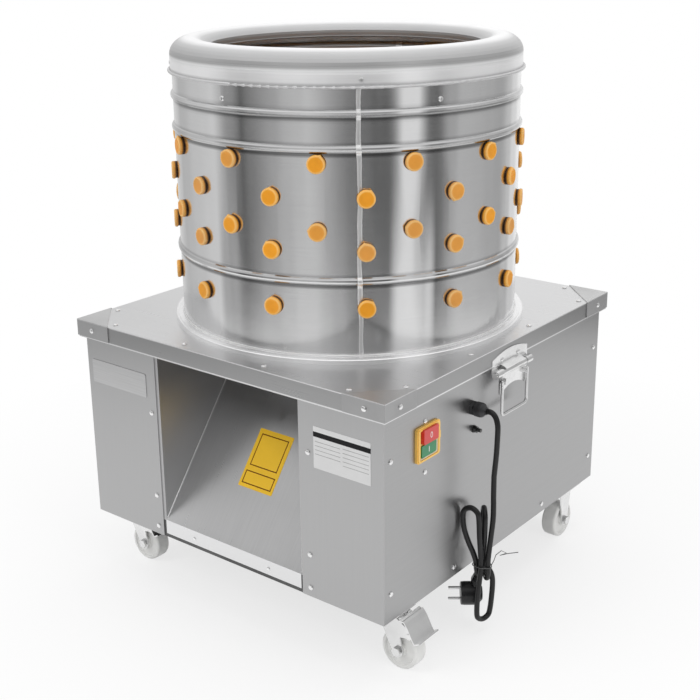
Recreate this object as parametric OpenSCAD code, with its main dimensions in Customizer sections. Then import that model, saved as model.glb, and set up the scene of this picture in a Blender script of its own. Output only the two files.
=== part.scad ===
// Drum poultry plucker on castors: a sheet-metal cabinet with a feather chute,
// a drum lined with rubber fingers, and a finger plate that a motor turns by belt.
// Origin on the floor under the drum axis, +Z up, chute side facing -Y, switch side facing +X.

/* [Cabinet] */
// Width over the side panels
cabinet_w = 610; // [590:2:660]
// Depth over the front and rear panels
cabinet_d = 626; // [616:2:680]
// Height of the panels
panel_h = 343; // [335:1:380]
// Sheet thickness of the panels
panel_t = 1.5; // [1:0.1:2]
// Width of the folded flanges
flange_w = 22; // [18:1:26]
// Height of the base frame's upright leg
frame_leg = 28; // [20:1:30]
// Width of the base frame's foot
frame_foot = 35; // [30:1:45]
// Thickness of the base frame
frame_t = 2.5; // [2:0.1:4]

/* [Top tray] */
// Sheet thickness of the tray
tray_t = 2; // [1.5:0.1:3]
// How far the tray stands out past the panels
tray_over = 8; // [6:0.5:12]
// Height of the tray with its skirt
skirt_h = 28.5; // [26:0.5:40]
// Leg length of the corner caps
cap_leg = 74; // [50:1:90]
// Sheet thickness of the corner caps
cap_t = 1.5; // [1:0.1:2]
// Height of the corner caps' skirts
cap_h = 26; // [20:0.5:26]

/* [Chute] */
// Clear width between the chute walls
chute_w = 290; // [260:2:300]
// Middle of the chute to the right of the drum axis
chute_x = 5.5; // [0:0.5:8]
// Slope of the chute floor
chute_angle = 52.7; // [51:0.1:56]
// Height of the chute's lip
lip_h = 24; // [20:1:30]
// Gap between the lip and the lower edge of the panels
lip_gap = 7; // [4:0.5:10]
// Width of the chute walls' front flange
wall_flange = 31; // [24:1:36]
// Height of the header over the chute
header_h = 26; // [20:1:30]

/* [Drum] */
// Outer radius of the drum
drum_r = 275; // [265:1:280]
// Wall of the drum
drum_t = 1.5; // [1:0.1:2]
// Height of the drum's wall above the tray
drum_h = 420; // [415:1:440]
// Height of the rolled beads
bead_h = 12; // [8:0.5:13]
// How far the beads stand out
bead_out = 4; // [2:0.5:5]
// Width of the flange ring at the drum's foot
foot_ring_w = 13.5; // [10:0.5:16]
// Height of the flange ring at the drum's foot
foot_ring_h = 9; // [6:0.5:12]

/* [Lid ring] */
// Radius of the feed opening
mouth_r = 214; // [205:1:220]
// Sheet thickness of the lid ring
lid_t = 2; // [1.5:0.1:2.5]
// Height of the lid's dome
dome_h = 26; // [20:1:32]
// Height of the straight collar under the dome
collar_h = 24; // [20:1:30]
// Radius of the rolled edge of the collar
curl_r = 2.4; // [2:0.1:3]
// Straight height of the mouth
mouth_h = 10; // [6:0.5:12]

/* [Rubber fingers] */
// Radius of a finger's head
head_r = 13.5; // [12:0.5:14]
// Height of a finger's head
head_h = 8; // [6:0.5:9]
// Radius of a finger's neck
neck_r = 9.4; // [8:0.2:9.8]
// Radius of the shoulder inside
shoulder_r = 13; // [11:0.5:13]
// Radius of a finger at its root
finger_r = 11; // [9:0.5:12]
// Radius of a finger at its tip
finger_tip_r = 8; // [6:0.5:9]
// Length of a finger past its shoulder
finger_len = 86; // [70:1:90]
// Ribs on a finger
finger_ribs = 8; // [5:1:9]
// Columns of fingers round the drum
finger_columns = 25; // [21:2:25]

/* [Rotor] */
// Radius of the finger plate
plate_r = 262; // [255:1:264]
// Thickness of the finger plate
plate_t = 3; // [2.5:0.5:4]
// Height of the finger plate above the tray
plate_lift = 26; // [24:1:30]
// Height of the paddles under the plate
paddle_h = 21; // [15:1:22]
// Thickness of the paddles
paddle_t = 3; // [2:0.5:4]
// Radius of the hub flange
hub_r = 40; // [34:1:42]
// Thickness of the hub flange
hub_t = 8; // [6:0.5:9]
// Radius of the rotor shaft
shaft_r = 12.5; // [11:0.5:14]

/* [Drive] */
// Radius of the large pulley
pulley_r = 120; // [100:1:124]
// Radius of the motor pulley
motor_pulley_r = 27; // [24:1:32]
// Width of both pulleys
pulley_w = 22; // [20:1:24]
// Height of the motor plate's top above the floor
motor_plate_z = 312; // [306:1:314]
// Width of the belt
belt_w = 16; // [12:1:18]
// Thickness of the belt
belt_t = 4; // [3:0.5:5]
// Distance of the motor behind the drum axis
motor_y = 195; // [185:1:205]
// Radius of the motor's case
motor_r = 62; // [55:1:64]
// Height of the motor's case
motor_h = 180; // [140:1:185]
// Cooling fins round the motor
motor_fins = 24; // [16:2:28]
// Radius of the motor's shaft
motor_shaft_r = 9; // [7:0.5:11]
// Leg length of the motor beams
beam_leg = 30; // [25:1:35]
// Thickness of the motor beams
beam_t = 3; // [2:0.5:4]
// Thickness of the motor plate
motor_plate_t = 6; // [5:0.5:8]

/* [Spray ring] */
// Radius of the spray hose
hose_r = 8.5; // [7:0.5:9]
// Height of the spray hose above the tray
hose_z = 405; // [400:1:408]
// Drop from the hose to the clip screws
clip_drop = 27; // [22:1:30]
// Drop from the spray hose to the water inlet
inlet_drop = 22; // [21:0.5:23]
// Radius of the water inlet's threaded end
inlet_end_r = 10.4; // [8:0.1:12]
// Length of the water inlet's threaded end
inlet_len = 16; // [12:1:24]

/* [Castors] */
// Height of the castors
castor_h = 100; // [96:1:110]
// Radius of the wheels
wheel_r = 32; // [30:0.5:34]
// Width of the wheels
wheel_w = 26; // [22:1:28]
// Distance of the castors in from the side panels
castor_side_in = 32; // [32:1:35]
// Distance of the castors in from the front and rear panels
castor_end_in = 63; // [61:1:68]
// Width of the castors' top plates
castor_plate = 62; // [60:1:64]
// Trail of the swivel castors
trail = 22; // [18:1:24]
// Radius of the wheel axles
axle_r = 4; // [3:0.5:5]
// Thickness of the forks
fork_t = 2.5; // [2:0.1:3]
// Length of the brake pedal
pedal_len = 37; // [30:1:40]
// Width of the brake pedal
pedal_w = 50; // [44:1:56]

/* [Latches] */
// Width of a latch plate
latch_w = 102; // [90:1:110]
// Distance between the ears of a latch
latch_gap = 70; // [64:1:76]
// Radius of the hinge knuckles
knuckle_r = 6.5; // [6:0.1:7]
// Radius of the hinge pin
pin_r = 2.5; // [2:0.1:3]
// Length of the latch leaf below the pin
leaf_len = 34.5; // [30:0.5:38]
// Thickness of the latch leaf
leaf_t = 2; // [1.5:0.1:2.5]
// Radius of the bail's wire
bail_r = 2.5; // [2:0.1:2.6]
// Length of the bail below its pivots
bail_len = 55; // [45:1:70]

/* [Switch and cable] */
// Width of the switch frame
switch_w = 57; // [54:1:64]
// Height of the switch frame
switch_h = 54; // [52:1:62]
// How far the switch frame stands out
switch_t = 5.5; // [4.5:0.5:7]
// Distance of the switch before the drum axis
switch_y = 210.5; // [200:0.5:215]
// Height of the switch's middle above the floor
switch_z = 352; // [345:1:360]
// How far a button moves
button_travel = 3; // [2:0.5:3]
// Distance of the cable gland before the drum axis
gland_y = 90; // [85:1:95]
// Height of the cable gland above the floor
gland_z = 364; // [360:1:368]
// Radius of the cable gland's hexagon
gland_r = 12; // [11:0.5:14]
// Radius of the power cord
cord_r = 4.25; // [4:0.05:4.4]

/* [Hidden] */
$fn = 64;

steel = [0.72, 0.73, 0.74];
sheet_steel = [0.62, 0.63, 0.64];
bright_zinc = [0.8, 0.8, 0.82];
dark_steel = [0.35, 0.36, 0.38];
amber = [0.93, 0.62, 0.2];
black = [0.08, 0.08, 0.09];
white_nylon = [0.93, 0.93, 0.92];

// Clearances
slip = 0.1;
run_fit = 0.06;
move_gap = 0.4;
through = 50;

// Main levels and planes
base_z = castor_h;
under_z = base_z + panel_h;
top_z = under_z + tray_t;
px = cabinet_w / 2;
py = cabinet_d / 2;
in_x = px - panel_t;
in_y = py - panel_t;
tray_x = px + tray_over;
tray_y = py + tray_over;
drum_in = drum_r - drum_t;
plate_z = top_z + plate_lift;

// Chute planes
chute_left = chute_x - chute_w / 2;
chute_right = chute_x + chute_w / 2;
lip_z = base_z + lip_gap;
slope_z = lip_z + lip_h;
slope_run = (under_z - slope_z) / tan(chute_angle);
slope_end_y = -py + slope_run;
chute_foot = 15;
wall_drop = 12;
outlet_rim = 3;
outlet_y = -100;
outlet_side = 4.5;

// Screws and rivets
screw_r = 2;
screw_head_r = 4.2;
screw_head_h = 2.2;
screw_len = 8;
rivet_r = 1.6;
rivet_tail = 0.6;
edge_in = 16;
tray_screw_in = 8;
tray_screws_front = [-240, -82, 82, 240];
tray_screws_side = [-250, -85, 85, 250];
side_screw_mid = 134;
frame_screw_h = 15;
corner_screw_low = 45;
corner_screw_high = 251;
front_screw_low = 70;
front_screw_high = [215, 235];
wall_screw_in = 17;
lip_rivets = [-81, 78.5];
rear_screws = [-240, -80, 80, 240];
cap_screw_in = 34;
switch_screw_up = 32;
switch_screw_down = 47;
switch_screw_side = -3.5;
stud_y = -85;
stud_z = 328;
stud_r = 3;

// Drum layout
bead_levels = [122, 313.5, 363];
finger_start = -46.3;
finger_rows_even = [244, 166, 81.5];
finger_rows_odd = [293.5, 196];
finger_seat = 0.4;
finger_hole = neck_r + slip;
shoulder_h = 5;
lid_gap = 0.4;
lid_in = drum_r + lid_gap;
lid_out = lid_in + lid_t;
collar_z = top_z + drum_h - 20;
dome_z = collar_z + collar_h;
dome_reach = 32.4;
dome_end = 150;
lid_rivet_turn = -47.4;
lid_rivet_up = 10;
clip_turns = [-92, -23, 42, 107, 188];
clip_w = 12;
clip_t = 1.2;
hose_ring_r = drum_in - hose_r - clip_t - 3 * slip;
inlet_turn = 90;
inlet_r = 7;
tee_half = 6;
tee_wall = 0.8;

// Rotor layout
plate_rings = [[60, 8], [105, 12], [155, 16]];
stud_shaft_r = 8;
housing_r = 32;
housing_flange_r = 55;
housing_flange_t = 8;
bearing_r = 26;
bearing_w = 15;
guard_r = bearing_r + 4;
guard_h = 7;
seal_h = 6;
housing_bolt_ring = 44;
paddle_in = 62;
paddle_out = 12;
nut_r = 14;

// Drive layout
pulley_z = motor_plate_z + 12;
pulley_top = pulley_z + pulley_w;
housing_z = pulley_top + 2;
pulley_hub_r = 26;
groove_deep = 2;
groove_count = 5;
belt_gap = 0.3;
beam_spread = 80;
motor_plate_w = 200;
motor_plate_d = 2 * beam_spread + beam_leg;
motor_top = motor_plate_z - motor_plate_t;
fin_out = 5;
fin_t = 2.5;
motor_spigot_r = 30;
motor_spigot_h = 3;
motor_bolt_in = 12;

// Castor layout
castor_x = px - castor_side_in;
castor_y = py - castor_end_in;
castor_t = 3;
castor_bolt = 22;
plate_margin = 4;
race_r = 20.6;
cup_r = 24;
crown_t = 2.5;
crown_z = castor_h - 16;
kingpin_r = 5;
leg_y = wheel_w / 2 + 1.5;
axle_boss_r = 9;
pedal_pin = [45, 66];
pedal_pin_r = 3;
pedal_boss_r = 5.5;
pedal_t = 2;

// Latch layout
latch_x = tray_x + panel_t;
latch_pin_z = top_z - 38.5;
latch_pin_x = tray_x + knuckle_r + 0.5;
latch_rivet_y = 23.5;
latch_rivet_z = top_z - 22;
latch_low = top_z - 32;
latch_side_z = top_z - 17;
latch_arch = 9;
ear_in = latch_gap / 2;
lever_half = ear_in - 0.5;
leaf_half = 39;
lug_y = 32.5;
lug_t = 2;
lug_edge = 2;
bail_drop = 13.5;
bail_off = 4;
bail_half = lug_y + lug_t / 2 + 0.7 + bail_r;
tongue_half = 28;

// Switch layout
box_w = 44;
box_h = 50;
box_deep = 46;
button_w = 36;
stop_low = 1.5;
stop_h = 22;
start_h = 18;
button_gap = 3;
stop_out = 9;
start_out = 5;
pocket_deep = 10;

// Cord route: gland to the top of the hank, in the machine's own frame
gland_end = 26;
gland_face_r = 6;
hank_x = 338;
hank_y = -101;
hank_turn = 38;
cord_route = [[331, -90, 364], [339, -90, 364], [346, -90, 358], [350, -90, 345], [350, -90, 325],
    [349, -90, 300], [347, -90, 275]];
// Hank route from the hanging cord to the plug: right, behind and height from the tie's foot
hank_route = [[13, 4, 250], [13, 3, 230], [13, 0, 196], [10, -2, 164], [7, -4, 136], [6, -4, 118],
    [6.5, -4, 102.5], [6, 0, 93], [5, 9.5, 89], [4.5, 19, 93], [4, 23, 102.5], [3, 19.5, 122],
    [2, 19, 144], [1, 21.5, 166], [0.5, 26, 191.5], [0.5, 22, 201], [0.5, 12.5, 205], [0.5, 3, 201],
    [0.5, -1, 191.5], [0.5, -0.5, 170], [0.5, 2, 150], [0.5, 5, 134], [2, 6.5, 120],
    [5.5, 7.5, 109.5], [11, 8, 100.5], [14.5, 7.5, 91], [15.5, 7.5, 78], [14.5, 7.5, 56],
    [12.5, 7.5, 34.5], [9.5, 5, 25], [1.5, 0, 21], [-6.5, -5.5, 25], [-9.5, -8, 34.5], [-9, -7, 62],
    [-6, -4.5, 94], [-4, -4, 114], [-5.5, -5, 138], [-8, -8, 168], [-10, -10.5, 200.5],
    [-13.5, -8.5, 210], [-21, -3.5, 214], [-29, 1.5, 210], [-32.5, 3.5, 200.5], [-31, 4.5, 178],
    [-24, 4.5, 154], [-16, 4, 134], [-11.5, 3.5, 119], [-10.5, 3.5, 108], [-9, 5, 98], [-9, 9, 93]];
hank_steps = 2;
hank_sides = 6;
cord_sides = 8;
tie_z = 114;
tie_wire = 1.2;
tie_tail = [[11, -3, 115], [15, -4, 124], [18, -4, 134], [26, -5, 142], [34, -5, 138], [24, -5, 134],
    [36, -5, 137], [52, -5, 139]];
tie_strands = [[6, -4], [-4, -4], [-11, 3], [3.5, 21]];
tie_gap = 1.1;
plug_z = 54;
plug_u = -33;
plug_v = 21;
plug_r = 18.5;
plug_len = 34;
pin_gap = 19;
plug_pin_r = 2.4;
plug_pin_len = 19;
boot_r = 5.5;

function unit(v) = v / norm(v);
function arc(c, r, a0, a1, n) =
    [for (i = [0 : n]) c + r * [cos(a0 + (a1 - a0) * i / n), sin(a0 + (a1 - a0) * i / n)]];
function flipped(p) = [for (i = [len(p) - 1 : -1 : 0]) p[i]];
function left_of(v) = [-v[1], v[0]];
function miter(a, b) = (left_of(a) + left_of(b)) / (1 + left_of(a) * left_of(b));
function offset_path(p, d) =
    [for (i = [0 : len(p) - 1])
        let(j = max(i, 1), k = min(i, len(p) - 2))
            p[i] + d * miter(unit(p[j] - p[j - 1]), unit(p[k + 1] - p[k]))];
function bent(p, t) = concat(p, flipped(offset_path(p, t)));
function round_rect(w, h, r, n = 5) =
    concat(arc([w / 2 - r, h / 2 - r], r, 0, 90, n), arc([r - w / 2, h / 2 - r], r, 90, 180, n),
        arc([r - w / 2, r - h / 2], r, 180, 270, n), arc([w / 2 - r, r - h / 2], r, 270, 360, n));
function tangent_turn(from, c, r, side) =
    atan2(from[1] - c[1], from[0] - c[0]) + side * acos(r / norm(from - c));

// Tube swept along a list of points
function tangents(p) =
    [for (i = [0 : len(p) - 1]) unit(p[min(i + 1, len(p) - 1)] - p[max(i - 1, 0)])];
function carried(n, t) = unit(n - (n * t) * t);
function normals(t, n, i = 0) =
    i == len(t) ? [] : let(m = carried(n, t[i])) concat([m], normals(t, m, i + 1));
function spline_point(a, b, c, d, s) =
    0.5 * (2 * b + (c - a) * s + (2 * a - 5 * b + 4 * c - d) * s * s + (3 * b - a - 3 * c + d) * s * s * s);
function spline(p, n) =
    concat([for (i = [0 : len(p) - 2], k = [0 : n - 1])
        spline_point(p[max(i - 1, 0)], p[i], p[i + 1], p[min(i + 2, len(p) - 1)], k / n)],
        [p[len(p) - 1]]);
function tube_points(p, r, sides, start) =
    let(t = tangents(p), n = normals(t, start))
        [for (i = [0 : len(p) - 1], k = [0 : sides - 1])
            p[i] + r * (cos(360 * k / sides) * n[i] + sin(360 * k / sides) * cross(t[i], n[i]))];
function tube_sides(rings, sides) =
    [for (i = [0 : rings - 2], k = [0 : sides - 1], h = [0 : 1])
        let(a = i * sides + k, b = i * sides + (k + 1) % sides, c = a + sides, d = b + sides)
            h == 0 ? [a, c, b] : [b, c, d]];
function tube_ends(rings, sides) =
    concat([for (k = [1 : sides - 2]) [0, k, k + 1]],
        [for (k = [1 : sides - 2]) (rings - 1) * sides * [1, 1, 1] + [0, k + 1, k]]);

module tube(p, r, sides, start = [0, 1, 0]) {
    polyhedron(tube_points(p, r, sides, start), concat(tube_sides(len(p), sides), tube_ends(len(p), sides)));
}

function path_length(p) =
    len(p) < 2 ? 0 : [for (i = [1 : len(p) - 1]) norm(p[i] - p[i - 1])] * [for (i = [1 : len(p) - 1]) 1];
function hank_world(q) =
    [hank_x + q[0] * cos(hank_turn) - q[1] * sin(hank_turn),
        hank_y + q[0] * sin(hank_turn) + q[1] * cos(hank_turn), q[2]];
hank_path = spline(hank_route, hank_steps);
cord_path = concat(spline(concat(cord_route, [hank_world([13, 4, 262])]), 2), [hank_world(hank_route[0])]);
hank_gap = min([for (i = [0 : len(hank_path) - 1], j = [0 : len(hank_path) - 1])
    if (path_length([for (k = [min(i, j) : max(i, j)]) hank_path[k]]) > 4 * cord_r)
        norm(hank_path[i] - hank_path[j])]) - 2 * cord_r;
echo(hank_self_gap = hank_gap);
echo(cord_length = path_length(cord_path) + path_length(hank_path));

module at_corners(x, y) {
    for (sx = [-1, 1], sy = [-1, 1])
        translate([sx * x, sy * y, 0]) children();
}

// Turns +Z to the outside of a face
module facing_right() {
    rotate([0, 90, 0]) children();
}
module facing_left() {
    rotate([0, -90, 0]) children();
}
module facing_front() {
    rotate([90, 0, 0]) children();
}
module facing_rear() {
    rotate([-90, 0, 0]) children();
}

// Pan head screw, seated at z = 0 with its shank below
module pan_screw(r = screw_r, length = screw_len, head = screw_head_r, rise = screw_head_h) {
    rotate_extrude()
        polygon([[0, -length], [r, -length], [r, 0], [head, 0], [head, rise * 0.45],
            [head * 0.75, rise * 0.85], [head * 0.35, rise], [0, rise]]);
}

// Hexagon head bolt, seated at z = 0 with its shank below
module hex_bolt(r, length, head, rise) {
    cylinder(h = rise, r = head, $fn = 6);
    translate([0, 0, -length]) cylinder(h = length, r = r);
}

module drill(r) {
    translate([0, 0, -through / 2]) cylinder(h = through, r = r + slip);
}

// Places of the side panels' screws, for the right side
module side_screw_places() {
    for (s = [-1, 1]) {
        translate([px, s * (in_y - edge_in + panel_t), base_z + corner_screw_low]) facing_right() children();
        translate([px, s * (in_y - edge_in + panel_t), base_z + corner_screw_high]) facing_right() children();
        translate([px, s * side_screw_mid, base_z + frame_screw_h]) facing_right() children();
    }
}

module front_screw_places() {
    for (s = [0, 1])
        for (h = [frame_screw_h, front_screw_low, front_screw_high[s]])
            translate([s == 0 ? chute_left - panel_t - wall_screw_in : chute_right + panel_t + wall_screw_in,
                -py, base_z + h])
                facing_front() children();
}

module rear_screw_places() {
    for (x = rear_screws)
        translate([x, py, base_z + frame_screw_h]) facing_rear() children();
}

module lip_rivet_places() {
    for (x = lip_rivets)
        translate([chute_x + x, -py, lip_z + lip_h * 0.42]) facing_front() children();
}

module tray_screw_places() {
    for (x = tray_screws_front, s = [-1, 1])
        translate([x, s * (py - tray_screw_in), top_z]) children();
    for (y = tray_screws_side, s = [-1, 1])
        translate([s * (px - tray_screw_in), y, top_z]) children();
}

module switch_screw_places() {
    translate([px, -switch_y + switch_screw_side, switch_z + switch_screw_up]) facing_right() children();
    translate([px, -switch_y + switch_screw_side, switch_z - switch_screw_down]) facing_right() children();
}

module castor_bolt_places() {
    at_corners(castor_x, castor_y)
        for (bx = [-1, 1], by = [-1, 1])
            translate([bx * castor_bolt, by * castor_bolt, base_z + frame_t]) children();
}

// Welded angle frame with a plate in each corner for the castors
module base_frame() {
    color(dark_steel)
    difference() {
        union() {
            difference() {
                translate([-in_x, -in_y, base_z]) cube([2 * in_x, 2 * in_y, frame_leg]);
                translate([frame_t - in_x, frame_t - in_y, base_z + frame_t])
                    cube([2 * (in_x - frame_t), 2 * (in_y - frame_t), frame_leg]);
                translate([frame_foot - in_x, frame_foot - in_y, base_z - 1])
                    cube([2 * (in_x - frame_foot), 2 * (in_y - frame_foot), frame_leg]);
            }
            for (sx = [0, 1], sy = [0, 1])
                mirror([sx, 0, 0]) mirror([0, sy, 0])
                    translate([castor_x - castor_plate / 2 - plate_margin,
                        castor_y - castor_plate / 2 - plate_margin, base_z])
                        cube([in_x - castor_x + castor_plate / 2 + plate_margin - frame_t / 2,
                            in_y - castor_y + castor_plate / 2 + plate_margin - frame_t / 2, frame_t]);
        }
        castor_bolt_places() drill(screw_r + 1);
        side_screw_places() drill(screw_r);
        mirror([1, 0, 0]) side_screw_places() drill(screw_r);
        front_screw_places() drill(screw_r);
        rear_screw_places() drill(screw_r);
        lip_rivet_places() drill(rivet_r);
    }
}

// Side panel with its top flange, drawn on the right
module side_sheet() {
    translate([in_x, -in_y, base_z]) cube([panel_t, 2 * in_y, panel_h]);
    translate([px - flange_w, flange_w + 3 - py, under_z - panel_t])
        cube([flange_w - panel_t / 2, 2 * (py - flange_w - 3), panel_t]);
}

module side_panel_right() {
    color(sheet_steel)
    difference() {
        side_sheet();
        side_screw_places() drill(screw_r);
        tray_screw_places() drill(screw_r);
        switch_screw_places() drill(screw_r);
        translate([px, -switch_y, switch_z]) cube([through, box_w + 1, box_h + 1], center = true);
        translate([px, -gland_y, gland_z]) facing_right() drill(gland_r * 2 / 3);
        translate([px, stud_y, stud_z]) facing_right() drill(stud_r);
    }
}

module side_panel_left() {
    color(sheet_steel)
    difference() {
        mirror([1, 0, 0]) side_sheet();
        mirror([1, 0, 0]) side_screw_places() drill(screw_r);
        tray_screw_places() drill(screw_r);
    }
}

// Flanged end sheet from x0 to x1, drawn at the front; fold_left and fold_right give it return flanges
module end_sheet(x0, x1, fold_left, fold_right) {
    top_left = fold_left ? panel_t - in_x : x0 + 2;
    top_right = fold_right ? in_x - panel_t : x1 - 2;
    translate([x0, -py, base_z]) cube([x1 - x0, panel_t, panel_h]);
    translate([top_left, -py + panel_t / 2, under_z - panel_t])
        cube([top_right - top_left, flange_w - panel_t / 2, panel_t]);
    if (fold_left)
        translate([-in_x, -py + panel_t / 2, base_z + frame_leg + 1])
            cube([panel_t, flange_w - panel_t / 2, panel_h - frame_leg - 1]);
    if (fold_right)
        translate([in_x - panel_t, -py + panel_t / 2, base_z + frame_leg + 1])
            cube([panel_t, flange_w - panel_t / 2, panel_h - frame_leg - 1]);
}

module end_drills() {
    side_screw_places() drill(screw_r);
    mirror([1, 0, 0]) side_screw_places() drill(screw_r);
    tray_screw_places() drill(screw_r);
}

module rear_panel() {
    color(sheet_steel)
    difference() {
        mirror([0, 1, 0]) end_sheet(-px, px, true, true);
        end_drills();
        rear_screw_places() drill(screw_r);
    }
}

module front_panel_left() {
    color(sheet_steel)
    difference() {
        end_sheet(-px, chute_left - 5 - panel_t, true, false);
        end_drills();
        front_screw_places() drill(screw_r);
    }
}

module front_panel_right() {
    color(sheet_steel)
    difference() {
        end_sheet(chute_right + panel_t + 1, px, false, true);
        end_drills();
        front_screw_places() drill(screw_r);
    }
}

// Chute wall drawn with its inner face at x = 0 and its flanges towards +X
module chute_wall() {
    low_z = base_z + frame_leg + 1;
    top_under = under_z - panel_t;
    reach = wall_drop / sin(chute_angle);
    low_y = -py + reach + (low_z - slope_z) / tan(chute_angle);
    high_y = -py + reach + (top_under - slope_z) / tan(chute_angle);
    rotate([90, 0, 90])
        linear_extrude(height = panel_t)
            polygon([[-in_y, low_z], [max(low_y, -in_y + 5), low_z], [high_y, top_under], [-in_y, top_under]]);
    translate([panel_t / 2, -in_y, low_z])
        cube([wall_flange + panel_t / 2, panel_t, top_under - low_z]);
    translate([0, flange_w + 2 - py, top_under - panel_t / 2])
        cube([panel_t, high_y + py - flange_w - 2, panel_t]);
    translate([panel_t / 2, flange_w + 2 - py, top_under])
        cube([flange_w, high_y + py - flange_w - 2, panel_t]);
}

module chute_walls() {
    color(sheet_steel)
    difference() {
        union() {
            translate([chute_right, 0, 0]) chute_wall();
            translate([chute_left, 0, 0]) mirror([1, 0, 0]) chute_wall();
        }
        front_screw_places() drill(screw_r);
        tray_screw_places() drill(screw_r);
    }
}

// Bent sheet: the lip, the slope and a foot that hangs it under the tray
module chute_floor() {
    profile = bent([[-py, lip_z], [-py, slope_z], [slope_end_y, under_z], [slope_end_y + chute_foot, under_z]],
        -panel_t);
    color(sheet_steel)
    difference() {
        translate([chute_left, 0, 0])
            rotate([90, 0, 90])
                linear_extrude(height = chute_w) polygon(profile);
        lip_rivet_places() drill(rivet_r);
    }
}

module chute_header() {
    color(sheet_steel)
    difference() {
        union() {
            translate([chute_left, -in_y, under_z - header_h])
                cube([chute_w, panel_t, header_h]);
            translate([chute_left, -in_y + panel_t / 2, under_z - panel_t])
                cube([chute_w, flange_w - 1.5 * panel_t, panel_t]);
        }
        tray_screw_places() drill(screw_r);
    }
}

module top_tray() {
    color(steel)
    difference() {
        translate([-tray_x, -tray_y, top_z - skirt_h]) cube([2 * tray_x, 2 * tray_y, skirt_h]);
        translate([tray_t - tray_x, tray_t - tray_y, top_z - skirt_h - tray_t])
            cube([2 * (tray_x - tray_t), 2 * (tray_y - tray_t), skirt_h]);
        intersection() {
            translate([0, 0, under_z - 1]) cylinder(h = tray_t + 2, r = drum_in - outlet_rim);
            translate([chute_left + outlet_side, -drum_r, under_z - 1])
                cube([chute_w - 2 * outlet_side, drum_r + outlet_y, tray_t + 2]);
        }
        translate([0, 0, top_z]) drill(guard_r);
        housing_bolt_places() drill(screw_r + 1);
        tray_screw_places() drill(screw_r);
        cap_screw_places() drill(screw_r);
        latch_rivet_places() drill(rivet_r);
        mirror([1, 0, 0]) latch_rivet_places() drill(rivet_r);
    }
}

module cap_screw_places() {
    for (sx = [0, 1], sy = [0, 1])
        mirror([sx, 0, 0]) mirror([0, sy, 0]) {
            translate([tray_x + cap_t, tray_y - cap_screw_in, top_z - cap_h / 2]) facing_right() children();
            translate([tray_x - cap_screw_in, tray_y + cap_t, top_z - cap_h / 2]) facing_rear() children();
        }
}

// Folded corner piece: a triangle on the tray and a strip down each skirt
module corner_cap() {
    out_x = tray_x + cap_t;
    out_y = tray_y + cap_t;
    translate([0, 0, top_z])
        linear_extrude(height = cap_t)
            polygon([[out_x, out_y], [out_x - cap_leg, out_y], [out_x, out_y - cap_leg]]);
    translate([out_x - cap_leg, tray_y, top_z - cap_h]) cube([cap_leg, cap_t, cap_h + cap_t / 2]);
    translate([tray_x, out_y - cap_leg, top_z - cap_h]) cube([cap_t, cap_leg, cap_h + cap_t / 2]);
}

module corner_caps() {
    color(bright_zinc)
    difference() {
        for (sx = [0, 1], sy = [0, 1])
            mirror([sx, 0, 0]) mirror([0, sy, 0]) corner_cap();
        cap_screw_places() drill(screw_r);
    }
}

module tray_screws() {
    color(bright_zinc) tray_screw_places() pan_screw();
}

module panel_screws() {
    color(bright_zinc) {
        side_screw_places() pan_screw();
        mirror([1, 0, 0]) side_screw_places() pan_screw();
        front_screw_places() pan_screw();
        rear_screw_places() pan_screw();
        cap_screw_places() pan_screw();
        switch_screw_places() pan_screw();
        lip_rivet_places() pan_screw(rivet_r, screw_len, 3.2, 1.6);
        translate([px, stud_y, stud_z]) facing_right() {
            rotate_extrude() polygon([[0, -screw_len], [stud_r, -screw_len], [stud_r, 0], [6, 0], [6, 1.2],
                [stud_r, 1.2], [stud_r, 13], [0, 13]]);
            translate([0, 0, 1.2])
                difference() {
                    cylinder(h = 5, r = 5.5, $fn = 6);
                    translate([0, 0, -1]) cylinder(h = 7, r = stud_r + run_fit);
                }
        }
    }
}

module housing_bolt_places() {
    for (a = [45 : 90 : 315])
        rotate([0, 0, a]) translate([housing_bolt_ring, 0, top_z]) children();
}

// Two angle beams across the cabinet that carry the motor plate
module motor_beams() {
    color(dark_steel)
    difference() {
        for (s = [-1, 1])
            translate([-in_x, motor_y + s * beam_spread, motor_top - beam_leg])
                difference() {
                    translate([0, -beam_leg / 2, 0]) cube([2 * in_x, beam_leg, beam_leg]);
                    translate([-1, s > 0 ? -beam_leg / 2 - beam_t : beam_t - beam_leg / 2, -beam_t])
                        cube([2 * in_x + 2, beam_leg, beam_leg]);
                }
        motor_bolt_places() drill(screw_r + 2);
    }
}

module motor_bolt_places() {
    for (sx = [-1, 1], sy = [-1, 1])
        translate([sx * (motor_plate_w / 2 - motor_bolt_in), motor_y + sy * beam_spread, motor_plate_z]) children();
}

module motor_flange_bolt_places() {
    for (a = [45 : 90 : 315])
        translate([0, motor_y, motor_plate_z]) rotate([0, 0, a]) translate([motor_r - motor_bolt_in, 0, 0]) children();
}

module bearing_housing() {
    low = housing_z;
    color(dark_steel)
    difference() {
        union() {
            translate([0, 0, under_z - housing_flange_t]) cylinder(h = housing_flange_t, r = housing_flange_r);
            translate([0, 0, low]) cylinder(h = under_z - low, r = housing_r);
            translate([0, 0, under_z - 1]) cylinder(h = tray_t + guard_h + 1, r = guard_r);
            for (a = [0 : 90 : 270])
                rotate([0, 0, a])
                    translate([housing_r - 1, 2, under_z - housing_flange_t + 0.5])
                        rotate([90, 0, 0])
                            linear_extrude(height = 4)
                                polygon([[0, 0], [housing_flange_r - housing_r - 4, 0], [0, -40]]);
        }
        translate([0, 0, low - 1]) cylinder(h = bearing_w + 1, r = bearing_r);
        translate([0, 0, under_z - bearing_w]) cylinder(h = through, r = bearing_r);
        translate([0, 0, low - 1]) cylinder(h = through + under_z - low, r = bearing_r - 5);
        housing_bolt_places() drill(screw_r + 1);
    }
}

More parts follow.
